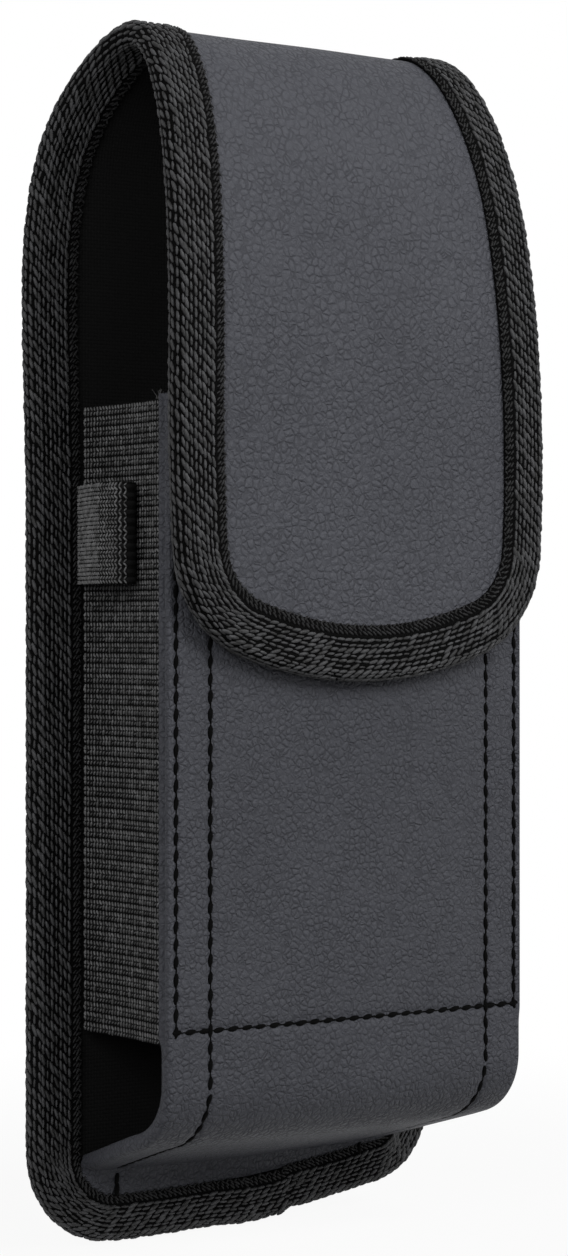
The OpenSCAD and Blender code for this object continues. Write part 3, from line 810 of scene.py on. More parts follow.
@dataclass
class BoundStrip:
    """The leather strip up the back, over the fold and down as the flap, with its tape.

    Depths are measured from the tape's outer face. A suffix _d marks a depth, _r a radius and _t a
    thickness.
    """

    back_w: float = 84.4
    back_drop: float = 113.2
    back_low_left: float = 20.0
    left_corner_r: float = 16.0
    right_corner_r: float = 13.0
    back_bottom_r: float = 300.0
    hinge_z: float = 57.0
    draw_in_z: float = 45.0
    draw_in_r: float = 84.0
    crest_y: float = -15.3
    crest_z: float = 83.6
    rear_rise: float = 26.0
    front_rise: float = 56.0
    outer_back_y: float = 0.5
    outer_front_y: float = -36.3
    waist_w: float = 66.6
    waist_r: float = 16.5
    flap_w: float = 78.0
    flap_wide_z: float = 23.0
    flap_side_r: float = 343.0
    flap_drop: float = 21.6
    flap_corner_r: float = 19.0
    flap_bottom_r: float = 77.0
    tape_cover: float = 9.0
    foot_cover: float = 7.6
    tape_t: float = 0.5
    tape_full: float = 0.22
    fold_at: float = 1.42
    fold_r: float = 1.25
    fold_proud: float = 0.1
    lap_x: float = 10.4
    lap_l: float = 17.0
    lap_t: float = 0.32
    lap_out: float = 0.6
    lap_rise: float = 8.0
    lap_fall: float = 0.7
    lap_below: float = 12.0
    twill: float = 0.41
    float_pitch: float = 1.7
    float_insets: tuple[float, float, float] = (1.45, 6.9, 0.86)
    fold_angles: tuple[float, ...] = (22.0, 56.0, 90.0, 124.0, 158.0)
    braid_insets: tuple[float, ...] = (7.75, 8.35)
    zigzag_inset: float = 8.85
    back_wander: float = 0.8
    flap_wander: float = -1.0
    wander_up: float = 40.0
    wander_l: float = 15.0
    bound_t: float = 3.4
    skin_d: float = 0.5
    core_d: float = 1.3
    lining_d: float = 2.3
    inner_d: float = 2.9
    layer_play: float = 0.02
    tuck: float = 3.0
    core_tuck: float = 3.2
    blend_from: Point = (0.0, 0.0005, 0.055)
    blend_to: Point = (0.0, -0.00862, 0.05766)

    def __post_init__(self) -> None:
        """Works out the profile and the outline laid flat."""
        self._profile()
        self._outline()

    def _profile(self) -> None:
        """The strip from the side: outer points, outward normals and the length along mid depth."""
        rear_c, front_c = self.crest_z - self.rear_rise, self.crest_z - self.front_rise
        rear_a, front_a = self.outer_back_y - self.crest_y, self.crest_y - self.outer_front_y
        outer, normal = [], []
        for z in np.arange(-self.back_drop, rear_c, 1.0):
            outer.append((self.outer_back_y, z))
            normal.append((1.0, 0.0))
        for a, b, z, start in ((rear_a, self.rear_rise, rear_c, 0.0),
                               (front_a, self.front_rise, front_c, 90.0)):
            for t in np.radians(np.linspace(start, start + 90, 121))[:-1]:
                outer.append((self.crest_y + a * math.cos(t), z + b * math.sin(t)))
                normal.append(tuple(unit(np.array([math.cos(t) / a, math.sin(t) / b]))))
        for z in np.arange(front_c, -self.flap_drop - 0.01, -0.96):
            outer.append((self.outer_front_y, z))
            normal.append((-1.0, 0.0))
        outer.append((self.outer_front_y, -self.flap_drop))
        normal.append((-1.0, 0.0))
        self.outer, self.normal = np.array(outer), np.array(normal)
        mid = self.outer - self.normal * self.bound_t / 2
        self.run = run_along(mid)
        self.length = self.run[-1]

    def at(self, s: np.ndarray, x: np.ndarray, depth: np.ndarray) -> np.ndarray:
        """Places on the strip: length along it, X and depth under its outer face, as 3-D points."""
        s = np.asarray(s, float)
        o = np.stack([np.interp(s, self.run, self.outer[:, k]) for k in (0, 1)], -1)
        n = self.facing(s)
        beyond = np.where(s > self.length, self.length - s, np.where(s < 0, s, 0.0))
        p = o - n * np.asarray(depth, float)[..., None]
        return np.stack([np.broadcast_to(x, s.shape), p[..., 0], p[..., 1] + beyond], -1)

    def facing(self, s: np.ndarray) -> np.ndarray:
        """The outward normal in Y and Z at a length along the strip."""
        return unit(np.stack([np.interp(s, self.run, self.normal[:, k]) for k in (0, 1)], -1))

    def _back_half(self, z: float) -> float:
        """Half the back's width at a height above its corners."""
        hw = self.back_w / 2
        if z <= self.draw_in_z:
            return hw
        drop = self.draw_in_r ** 2 - (z - self.draw_in_z) ** 2
        return hw - self.draw_in_r + math.sqrt(max(drop, 0))

    def _foot_side(self, low_x: float, r: float) -> list[tuple[float, float]]:
        """Half the foot's outline laid flat, from its lowest point up to the straight side."""
        big, low = self.back_bottom_r, self.back_bottom_r - self.back_drop
        cx = self.back_w / 2 - r
        cz = low - math.sqrt((big - r) ** 2 - (cx - low_x) ** 2)
        turn = math.atan2(cz - low, cx - low_x)
        side = [(low + big * math.sin(t) + self.back_drop, low_x + big * math.cos(t))
                for t in np.linspace(-math.pi / 2, turn, 12)]
        side += [(cz + r * math.sin(t) + self.back_drop, cx + r * math.cos(t))
                 for t in np.linspace(turn, 0, 20)[1:]]
        return side

    def _half_outline(self, low_x: float, r: float, wander: tuple[float, float]) -> np.ndarray:
        """One side of the strip laid flat, as (length, X) from its foot to the flap's tip.

        Args:
            low_x: Where the foot is lowest, from the centre line towards this side.
            r: Radius of the foot's corner.
            wander: How far the edge stands out on the back and on the flap beyond an even run.

        Returns:
            The outline.
        """
        side = self._foot_side(low_x, r)
        start = side[-1][0]
        wide = np.array([self.flap_w / 2 - self.flap_side_r, self.flap_wide_z])
        tip = np.array([0.0, self.flap_bottom_r - self.flap_drop])
        r1, r2 = self.flap_bottom_r - self.flap_corner_r, self.flap_side_r - self.flap_corner_r
        d = np.linalg.norm(wide - tip)
        u = (wide - tip) / d
        a = (r1 ** 2 - r2 ** 2 + d * d) / (2 * d)
        corner = tip + a * u + math.sqrt(r1 ** 2 - a ** 2) * np.array([-u[1], u[0]])
        flap_turn = math.atan2(*(corner - tip)[::-1])
        side_turn = math.atan2(*(corner - wide)[::-1])
        side_z = corner[1] + self.flap_corner_r * math.sin(side_turn)
        places = np.arange(start + 1, self.length - (side_z + self.flap_drop), 1.0)
        humps = (self.back_drop + self.wander_up, self.length - self.flap_drop - self.wander_up)
        widths = self._drawn_in(places, wide)
        for far, at in zip(wander, humps):
            widths = widths + far * gauss(places - at, self.wander_l)
        side += list(zip(places, widths))
        line = lambda c, rr, t: (self.length - (c[1] + rr * math.sin(t) + self.flap_drop),
                                 c[0] + rr * math.cos(t))
        side += [line(corner, self.flap_corner_r, t)
                 for t in np.linspace(side_turn, flap_turn, 20)]
        side += [line(tip, self.flap_bottom_r, t)
                 for t in np.linspace(flap_turn, -math.pi / 2, 12)[1:]]
        return np.array(side)

    def _drawn_in(self, places: np.ndarray, wide: np.ndarray) -> np.ndarray:
        """Half widths between the foot and the flap's corners, with the hollow at the crest."""
        mid = self.at(places, 0.0, np.full(len(places), self.bound_t / 2))
        widths = []
        for y, z in mid[:, 1:]:
            rear = y > self.crest_y
            w = self._back_half(z) if rear else \
                wide[0] + math.sqrt(self.flap_side_r ** 2 - (z - wide[1]) ** 2)
            off = abs(y - self.crest_y)
            if off < self.waist_r and not (rear and z < self.hinge_z):
                hollow = self.waist_r - math.sqrt(self.waist_r ** 2 - off ** 2)
                w = min(w, self.waist_w / 2 + hollow)
            widths.append(w)
        reach = 8
        kernel = gauss(np.arange(-reach, reach + 1), 2.6)
        return np.convolve(np.pad(widths, reach, mode="edge"), kernel / kernel.sum(), mode="valid")

    def _outline(self) -> None:
        """The edge of the strip laid flat, as (length, X) round the whole piece."""
        right = self._half_outline(-self.back_low_left, self.right_corner_r,
                                   (0.0, self.flap_wander))
        left = self._half_outline(self.back_low_left, self.left_corner_r, (self.back_wander, 0.0))
        self.edge = even(np.vstack([right, left[-2:0:-1] * [1, -1]]), 0.7, closed=True)
        ahead = unit(np.roll(self.edge, -2, 0) - np.roll(self.edge, 2, 0))
        self.inward = np.stack([ahead[:, 1], -ahead[:, 0]], 1)
        centre = np.array([self.length / 2, 0.0])
        if ((centre - self.edge) * self.inward).sum() < 0:
            self.inward = -self.inward
        on_foot = self.edge[:, 0] < 2 * self.left_corner_r
        share = 1 - self.foot_cover / self.tape_cover
        self.snug = 1 - share * np.clip(self.inward[:, 0], 0, 1) * on_foot
        x = self.edge[:, 1]
        rise = np.clip((x - (self.lap_x - self.lap_l)) / self.lap_rise, 0, 1)
        fall = np.clip((self.lap_x - x) / self.lap_fall, 0, 1)
        self.lap = rise * fall * (self.edge[:, 0] < self.lap_below)

    def reach(self, s: np.ndarray, side: int, inset: float) -> np.ndarray:
        """X of the line at an inset from one side's edge, at lengths along the strip."""
        tip = int(np.argmax(self.edge[:, 0]))
        flat = self.edge + self.inward * inset
        chain = flat[:tip + 1] if side > 0 else np.vstack([flat[:1], flat[:tip - 1:-1]])
        order = np.argsort(chain[:, 0], kind="stable")
        return np.interp(s, chain[order, 0], chain[order, 1])

    def ring(self, inset: float, depth: float, proud: float = 0.0) -> tuple[np.ndarray, np.ndarray]:
        """A closed line round the strip, and the strip's normals on it.

        Args:
            inset: How far it lies inside the edge. It is less along the foot.
            depth: Depth under the outer face.
            proud: How much of the thickening where the tape's end laps over applies.

        Returns:
            The points and the normals.
        """
        lap = proud * self.lap
        flat = self.edge + self.inward * (inset * self.snug - self.lap_out * lap)[:, None]
        away = self.lap_t * lap * (1 if depth > self.bound_t / 2 else -1)
        points = self.at(flat[:, 0], flat[:, 1], depth + away)
        n = self.facing(flat[:, 0])
        return points, np.stack([np.zeros(len(n)), n[:, 0], n[:, 1]], 1)

    def layer(self, name: str, d0: float, d1: float, inset: float, material: bpy.types.Material,
              wave: float = 0.0) -> bpy.types.Object:
        """One layer of the strip as a closed slab.

        Args:
            name: The piece's name.
            d0: Depth of its outer face.
            d1: Depth of its inner face.
            inset: How far it stays inside the strip's edge.
            material: Its finish.
            wave: Height of the slow waves in its outer face.

        Returns:
            The piece.
        """
        ss = np.arange(inset + 0.6, self.length - inset - 0.6, 1.0)
        us = np.linspace(0, 1, 61)
        grid_s = np.repeat(ss, len(us))
        left, right = self.reach(ss, -1, inset), self.reach(ss, 1, inset)
        grid_x = (left[:, None] + (right - left)[:, None] * us).ravel()
        waves = wave * (np.sin(grid_s * 0.11 + grid_x * 0.05) * np.sin(grid_x * 0.13 + 1.0)
                        + 0.5 * np.sin(grid_s * 0.23 + 2.0) * np.cos(grid_x * 0.19))
        outer = self.at(grid_s, grid_x, np.full(len(grid_s), d0) + waves)
        inner = self.at(grid_s, grid_x, np.full(len(grid_s), d1))
        return slab(name, outer, inner, np.stack([grid_x, grid_s], 1), len(ss), material)

    def bulge(self, inset: float) -> float:
        """How full the tape stands on each face at an inset."""
        share = min(max(inset / self.tape_cover, 0), 1)
        return self.tape_full * math.sin(math.pi * share) ** 0.6

    def fold_place(self, t: float) -> tuple[float, float]:
        """Inset and depth of the tape's fold at an angle that is 0 on the outer face."""
        mid = self.bound_t / 2
        return (self.fold_at - self.fold_r * math.sin(t),
                mid - (mid + self.fold_proud) * math.cos(t))

    def tape(self, material: bpy.types.Material) -> bpy.types.Object:
        """The binding's ground: a C round the edge of all the layers, full on both faces."""
        cover, bound, play = self.tape_cover, self.bound_t, self.layer_play
        top, bottom, root = self.skin_d - play, self.inner_d + play, self.tape_t + 0.6
        face = np.linspace(cover - 0.4, 1.6, 8)
        section = [(cover, top), (cover, 0.12)]
        section += [(i, -self.bulge(i)) for i in face]
        section += [self.fold_place(a) for a in np.radians(np.linspace(10, 170, 9))]
        section += [(i, bound + self.bulge(i)) for i in face[::-1]]
        section += [(cover, bound - 0.12), (cover, bottom), (root, bottom), (root, top)]
        hidden = len(section) - 3
        rings = [self.ring(i, d, 1.0 if 0 < k < hidden else 0.0)[0]
                 for k, (i, d) in enumerate(section)]
        points = np.stack(rings, 1).reshape(-1, 3)
        uv = flat_map(run_along(np.array(section)), run_along(self.edge))
        faces = tube_faces(len(self.edge), len(section), True)
        return outward(make_piece("strip_tape", points, faces, material, uv))

    def float_rows(self) -> list[tuple[float, float]]:
        """The rows of floats in order round the tape: the outer face, the fold and the inner face.

        Returns:
            Inset and angle of each row, the angle in degrees from the outer face.
        """
        insets = np.arange(*self.float_insets)
        rows = [(float(i), 0.0) for i in insets[::-1]]
        rows += [(0.0, a) for a in self.fold_angles]
        return rows + [(float(i), 180.0) for i in insets]

    def set_out(self, line: np.ndarray, pitch: float, start: float) -> np.ndarray:
        """Puts points on a closed line so that all rows of the tape keep in step.

        Args:
            line: Values at the points of the strip's edge.
            pitch: Distance between two points, measured at the edge.
            start: Where the first one lies, in pitches.

        Returns:
            The values at the new points.
        """
        run = run_along(np.vstack([self.edge, self.edge[:1]]))
        count = int(round(run[-1] / pitch))
        places = ((np.arange(count) + start) % count) * run[-1] / count
        places = np.roll(places, -int(np.argmin(places)))
        whole = np.vstack([line, line[:1]])
        return np.stack([np.interp(places, run, whole[:, k]) for k in range(3)], 1)

    def float_guide(self, rows: list[tuple[float, float]], first: int = 0, every: int = 1,
                    pitch: float = 0.0) -> Guide:
        """Lines for yarn, each row set on from the last like a twill.

        Args:
            rows: Inset and angle of each row. Only rows on the fold have angles between 0 and 180.
            first: Number of the first row that is taken.
            every: How many rows on the next one is.
            pitch: Where it is given, the lines' points are the floats' places, this far apart.

        Returns:
            The guide.
        """
        guide = Guide()
        away = -self._inward_3d()
        for k in range(first, len(rows), every):
            inset, angle = rows[k]
            t = math.radians(angle)
            if 0 < angle < 180:
                points, up = self.ring(*self.fold_place(t), 1.0)
                normals = up * math.cos(t) + away * math.sin(t)
            else:
                outer = angle == 0
                depth = -self.bulge(inset) if outer else self.bound_t + self.bulge(inset)
                points, up = self.ring(inset, depth, 1.0)
                normals = up if outer else -up
            if pitch:
                start = self.twill * k
                points, normals = (self.set_out(v, pitch, start) for v in (points, normals))
            guide.line(points, normals, closed=True)
        return guide

    def _inward_3d(self) -> np.ndarray:
        """The direction from the edge into the strip, in space."""
        n = self.facing(self.edge[:, 0])
        forward = np.stack([np.zeros(len(n)), -n[:, 1], n[:, 0]], 1)
        return forward * self.inward[:, :1] + np.array([1.0, 0, 0]) * self.inward[:, 1:]

    def floats(self, kit: Workshop, wear: Wardrobe) -> list[bpy.types.Object]:
        """The tape's yarn: two sets of floats in turn, and the fine selvage."""
        rows, pitch = self.float_rows(), self.float_pitch
        braid = [(i, a) for a in (0.0, 180.0) for i in self.braid_insets]
        edge = [(self.zigzag_inset, a) for a in (0.0, 180.0)]
        wide = Stitch(1.95, 0.68, 0.62, slant=0.18, lift=0.03, jitter=0.25, placed=True, seed=4,
                      rings=4)
        thin = Stitch(1.85, 0.6, 0.6, slant=0.24, jitter=0.28, placed=True, seed=9, rings=4)
        leaning = Stitch(1.25, 0.42, 0.42, pitch=1.0, slant=-0.75, lift=0.03, jitter=0.25, seed=5)
        crossing = Stitch(1.1, 0.36, 0.4, pitch=0.85, zigzag=0.7, lift=-0.02, jitter=0.25, seed=7)
        return [
            kit.sew(self.float_guide(rows, 0, 2, pitch), "strip_tape_yarns", wide, wear.yarn),
            kit.sew(self.float_guide(rows, 1, 2, pitch), "strip_tape_thin_yarns", thin, wear.yarn),
            kit.sew(self.float_guide(braid), "strip_tape_braid", leaning, wear.selvage),
            kit.sew(self.float_guide(edge), "strip_tape_zigzag", crossing, wear.selvage)]

    def build(self, kit: Workshop, wear: Wardrobe) -> None:
        """Builds the strip's layers and its tape, all bending together over the hinge."""
        skin = self.layer("strip_leather", self.skin_d, self.core_d - self.layer_play,
                          self.tuck, wear.leather, wave=0.07)
        core = self.layer("strip_core", self.core_d, self.lining_d, self.core_tuck, wear.foam)
        lining = self.layer("strip_lining", self.lining_d + self.layer_play, self.inner_d,
                            self.tuck, wear.lining)
        tape = self.tape(wear.tape)
        parts = [(skin, Slot.LEATHER, ("back_skin", "flap_skin")),
                 (core, Slot.PADDING, ("back_board", "flap_padding")),
                 (lining, Slot.LINING, ("back_lining", "flap_lining")),
                 (tape, Slot.BINDING, ("back_binding", "flap_binding"))]
        parts += [(piece, Slot.BINDING, ()) for piece in self.floats(kit, wear)]
        for piece, slot, nodes in parts:
            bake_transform(piece, Body.POUCH.value, Body.FLAP.value, start=self.blend_from,
                     end=self.blend_to)
            if nodes:
                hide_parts(*nodes)


@dataclass
class FrontStrip:
    """The strip of leather over board that forms the front and bends under to the back.

    The suffix _t is a length from the top edge, or a thickness, and _hw is half a width.
    """

    strip: BoundStrip
    width: float = 74.8
    top: float = 23.6
    bend_z: float = -84.3
    bend_y: float = -20.8
    bend_r: float = 11.0
    turn: float = 73.5
    bow: float = 0.8
    narrowing: float = 0.2391
    end_y: float = -2.9
    foot_l: float = 24.0
    foot_reach: float = 22.0
    flange_y: float = -3.2
    flange_back: float = -2.42
    flange_hw: float = 32.9
    flange_top: float = -100.3
    flange_line: float = 26.0
    flange_line_top: float = -102.9
    skin_t: float = 0.8
    panel_t: float = 2.4
    cloth_hw: float = 36.5
    cloth_d: float = 1.8
    outer_line: float = 35.8
    inner_line: float = 29.2
    cross_z: float = -76.0
    pitch: float = 2.75
    sunk: float = 0.3
    roll_change: float = 3.0
    free_top: float = 2.6
    free_end: float = 4.6

    def bowed(self, x: np.ndarray) -> np.ndarray:
        """How far the middle stands out in front of the edges at X."""
        r = ((self.width / 2) ** 2 + self.bow ** 2) / (2 * self.bow)
        return np.sqrt(r * r - np.asarray(x, float) ** 2) - (r - self.bow)

    @property
    def straight(self) -> float:
        """Length from the top edge to the bend."""
        return self.top - self.bend_z

    @property
    def bent(self) -> float:
        """The angle of the bend in radians."""
        return math.radians(self.turn)

    @property
    def cross_t(self) -> float:
        """Length from the top edge to the stitch line across the foot."""
        return self.top - self.cross_z

    @property
    def cross_pitch(self) -> float:
        """The stitch length of the line across, so that a whole number fits."""
        return self.outer_line / round(self.outer_line / self.pitch)

    def stations(self, step: float = 0.55) -> np.ndarray:
        """Lengths from the top edge along the strip, with the bottom's end at the last one."""
        end = self.straight + self.bent * self.bend_r + self.foot_l
        return np.arange(0, end + step / 2, step)

    def at(self, t: np.ndarray | float, x: np.ndarray | float,
           depth: np.ndarray | float) -> tuple[np.ndarray, np.ndarray]:
        """Places on the strip, and the outward normals there.

        Args:
            t: Length from the top edge.
            x: Place across the strip at its full width.
            depth: Depth under its outer face.

        Returns:
            The points and the normals.
        """
        t, x, depth = np.broadcast_arrays(np.asarray(t, float), np.asarray(x, float),
                                          np.asarray(depth, float))
        rad = self.bend_r - depth + self.bowed(x)
        phi = np.clip((t - self.straight) / self.bend_r, 0, self.bent)
        over = np.maximum(t - self.straight - self.bent * self.bend_r, 0)
        reach = (self.end_y - self.bend_y + rad * math.cos(self.bent)) / math.sin(self.bent)
        over = np.minimum(over, reach)
        up = np.maximum(self.straight - t, 0)
        y = self.bend_y - rad * np.cos(phi) + over * math.sin(self.bent)
        z = self.bend_z - rad * np.sin(phi) + up - over * math.cos(self.bent)
        drawn = 1 - self.narrowing * np.maximum(y - self.bend_y, 0) / (self.width / 2)
        normal = np.stack([np.zeros_like(y), -np.cos(phi), -np.sin(phi)], -1)
        return np.stack([x * drawn, y, z], -1), normal

    def pressed(self, t: np.ndarray, x: np.ndarray) -> np.ndarray:
        """How far the stitches pull the leather in at a place."""
        ax = np.abs(x)
        knot = lambda run: 0.5 + 0.5 * np.cos(2 * math.pi * run / self.pitch)
        held = lambda off, run: (gauss(off, 0.8) * 0.13
                                 + gauss(off, 0.42) * (0.1 + 0.3 * knot(run) ** 0.7))
        lengthwise = t - self.cross_t
        down = held(ax - self.inner_line, lengthwise)
        down = np.maximum(down, held(ax - self.outer_line, lengthwise) * (t < self.cross_t + 0.5))
        across = held(lengthwise, x * self.pitch / self.cross_pitch)
        return np.maximum(down, across * (ax < self.outer_line + 0.5))

    def section(self) -> tuple[np.ndarray, np.ndarray]:
        """The leather's section as X and depth, outer face first, then the turned edges.

        Returns:
            The section with two rolls and a groove at its side, and the one with a single roll.
        """
        hw, t, c = self.width / 2, self.skin_t, self.panel_t
        outer = set(np.linspace(-hw + 1.2, hw - 1.2, 45))
        for line in (self.outer_line, self.inner_line):
            for side in (-1, 1):
                outer |= {side * line + d
                          for d in (-1.2, -0.8, -0.5, -0.25, 0.0, 0.25, 0.5, 0.8, 1.2)}
        roll = lambda inset, depth, r, turns: [(hw - inset + r * math.sin(a),
                                                depth - r * math.cos(a))
                                               for a in np.radians(turns)]
        rolled = roll(0.7, 0.7, 0.7, (20, 45, 68, 90, 108, 125))
        rolled += [(hw - 0.42, 1.22), (hw - 0.66, 1.5), (hw - 0.42, 1.8)]
        rolled += roll(0.5, c, 0.5, (50, 90, 135, 175))
        single = roll(1.1, 1.1, 1.1, np.linspace(20, 135, len(rolled) - 1)) + [(hw - 0.46, c)]
        hem = [(hw - t, c + 0.2), (hw - t, t + 0.1)]
        back = [(x, t) for x in np.linspace(hw - t - 0.1, -(hw - t - 0.1), 21)]
        flip = lambda pts: [(-x, d) for x, d in reversed(pts)]
        front = [(x, 0.0) for x in sorted(outer) if abs(x) <= hw - 0.85]
        ring = lambda side: np.array(front + side + hem + back + flip(hem) + flip(side))
        return ring(rolled), ring(single)

    def leather(self, material: bpy.types.Material) -> bpy.types.Object:
        """The outer leather, turned in over both side edges."""
        ts = self.stations()
        rolled, single = self.section()
        count = len(rolled)
        grid_t = np.repeat(ts, count)
        f = eased((grid_t - self.cross_t - 0.5) / self.roll_change)[:, None]
        place = np.tile(rolled, (len(ts), 1)) * (1 - f) + np.tile(single, (len(ts), 1)) * f
        x, d = place[:, 0], place[:, 1]
        waves = 0.09 * np.sin(grid_t * 0.09 + x * 0.06 + 0.6) * np.sin(x * 0.11 + 0.4)
        waves += 0.05 * np.sin(grid_t * 0.21 + 1.0) * np.sin(x * 0.17 + 2.0)
        waves *= np.clip((37 - np.abs(x)) / 6, 0, 1)
        on_face = d < 0.01
        points, _ = self.at(grid_t, x, d + on_face * (self.pressed(grid_t, x) + waves))
        uv = np.stack([np.tile(run_along(rolled), len(ts)), grid_t], 1)
        return outward(make_piece("front_leather_shaded", points, tube_faces(len(ts), count, False),
                                  material, uv))

    def window(self, x: np.ndarray, inset: float) -> np.ndarray:
        """Height of the lower edge of the back's window in the tape, at X."""
        flat = self.strip.edge + self.strip.inward * (inset * self.strip.snug)[:, None]
        low = flat[flat[:, 0] < self.foot_reach]
        low = low[np.argsort(low[:, 1])]
        return np.interp(x, low[:, 1], low[:, 0]) - self.strip.back_drop

    def flange(self, material: bpy.types.Material) -> bpy.types.Object:
        """The leather turned down onto the back under the bend, ending at the tape."""
        xs, vs = np.linspace(-self.flange_hw, self.flange_hw, 150), np.linspace(0, 1, 22)
        rad = self.bend_r + self.bowed(xs)
        foot = self.bend_z - rad * math.sin(self.bent) - math.cos(self.bent) * (
            self.flange_y - self.bend_y + rad * math.cos(self.bent)) / math.sin(self.bent)
        low = self.window(xs, self.strip.tape_cover - 0.5)
        z = self.flange_top + (low - self.flange_top) * vs[:, None]
        x = np.tile(xs, (len(vs), 1))
        clear = z - self.window(xs, self.strip.tape_cover)
        sunk = 0.42 * np.clip(1 - clear / 1.3, 0, 1) ** 1.5
        fillet = 0.5 * np.exp(-np.clip(foot - z, 0, None) / 0.55)
        held = sum(0.3 * gauss(x - side * self.flange_line, 0.45) for side in (-1, 1))
        y = self.flange_y - fillet + sunk + held * np.clip((foot - z) / 0.6, 0, 1)
        front = np.stack([x, y, z], -1).reshape(-1, 3)
        behind = np.stack([x, np.full_like(x, self.flange_back), z], -1).reshape(-1, 3)
        uv = np.stack([x, z], -1).reshape(-1, 2)
        return slab("front_flange", front, behind, uv, len(vs), material)

    def lining(self, material: bpy.types.Material) -> bpy.types.Object:
        """The cloth that lines the strip, between its turned edges."""
        ts, xs = self.stations(1.1), np.linspace(-self.cloth_hw, self.cloth_hw, 31)
        grid_t, grid_x = np.repeat(ts, len(xs)), np.tile(xs, len(ts))
        outer, inner = (self.at(grid_t, grid_x, depth)[0]
                        for depth in (self.cloth_d, self.panel_t - 0.05))
        return slab("front_cloth", outer, inner, np.stack([grid_x, grid_t], 1), len(ts), material)

    def _stitch_line(self, guide: Guide, t: np.ndarray | float, x: np.ndarray | float,
                     lean: float) -> None:
        """Adds one stitch line, sunk as deep as the leather is drawn in along it."""
        guide.line(*self.at(t, x, self.sunk), lean=lean)

    def seams(self) -> Guide:
        """The stitch lines on the front: two down each side, one across and two on the flange."""
        guide = Guide()
        whole = lambda length: int(length / self.pitch) * self.pitch
        start = self.cross_t - whole(self.cross_t - self.free_top)
        turn_t = self.cross_t + whole(self.straight - self.cross_t)
        last = self.stations()[-1] - self.free_end
        for side in (-1, 1):
            for x, stop in ((self.outer_line, self.cross_t), (self.inner_line, turn_t)):
                self._stitch_line(guide, np.linspace(start, stop + 0.01, 240), side * x, side)
            self._stitch_line(guide, np.linspace(turn_t + self.pitch, last, 80),
                              side * self.inner_line, side)
            x = side * self.flange_line
            low = float(self.window(np.array([x]), self.strip.tape_cover)[0]) + 0.9
            points = np.array([(x, self.flange_y + 0.1, z)
                               for z in np.linspace(self.flange_line_top, low, 8)])
            guide.line(points, np.tile([0.0, -1.0, 0.0], (len(points), 1)), lean=side)
        xs = np.linspace(-self.outer_line, self.outer_line + 0.01, 160)
        self._stitch_line(guide, self.cross_t, xs, 1.0)
        return guide

    def build(self, kit: Workshop, wear: Wardrobe) -> None:
        """Builds the strip with its stitches, all riding on the pouch."""
        skin = self.leather(wear.front_leather_shaded)
        foot = self.flange(wear.front_leather_shaded)
        cloth = self.lining(wear.lining)
        round_stitch = Stitch(2.2, 0.92, 0.6, pitch=self.pitch, slant=0.16, lift=-0.02, seed=11,
                              segments=10, rings=8)
        between = Stitch(1.5, 0.3, 0.44, pitch=0.9, lift=0.02, jitter=0.12, seed=12)
        seams = kit.sew(self.seams(), "front_stitches", round_stitch, wear.thread)
        thin = kit.sew(self.seams(), "front_stitch_line", between, wear.thread)
        on_pouch(Slot.LEATHER, skin, foot, thin)
        on_pouch(Slot.LINING, cloth)
        on_pouch(Slot.LEATHER, seams)
        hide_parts("front_skin")
        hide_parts("front_lining")


@dataclass
class Fray:
    """A few loose thread ends at one place."""

    name: str
    root: Point
    spread: Point
    droop: Point
    count: int = 7
    length: float = 2.6
    thick: float = 0.07
    seed: int = 3

    def build(self, wear: Wardrobe) -> None:
        """Builds the threads as thin bent tubes, riding on the pouch."""
        rng = np.random.default_rng(self.seed)
        points, faces = [], []
        f = np.linspace(0, 1, 9)[:, None]
        for _ in range(self.count):
            start = np.array(self.root) + np.array(self.spread) * rng.uniform(-1, 1, 3)
            way = np.array(self.droop) + rng.uniform(-0.45, 0.45, 3)
            curl = rng.uniform(-0.5, 0.5, 3)
            reach = self.length * rng.uniform(0.5, 1.0)
            line = start + reach * (f * way + f ** 2 * curl)
            ahead = unit(np.gradient(line, axis=0))
            side = unit(np.cross(ahead, [0.3, 0.2, 0.93]))
            other = np.cross(ahead, side)
            first = len(points)
            for k in range(len(line)):
                r = self.thick * (1 - 0.5 * f[k, 0])
                points += [line[k] + r * (side[k] * math.cos(a) + other[k] * math.sin(a))
                           for a in np.radians((0, 90, 180, 270))]
            faces += [tuple(v + first for v in face) for face in tube_faces(len(line), 4, False)]
        piece = outward(make_piece(self.name, np.array(points), faces, wear.loose_thread))
        on_pouch(Slot.BINDING, piece)


def side_word(side: int) -> str:
    """The word for a side in the names of pieces."""
    return "right" if side > 0 else "left"


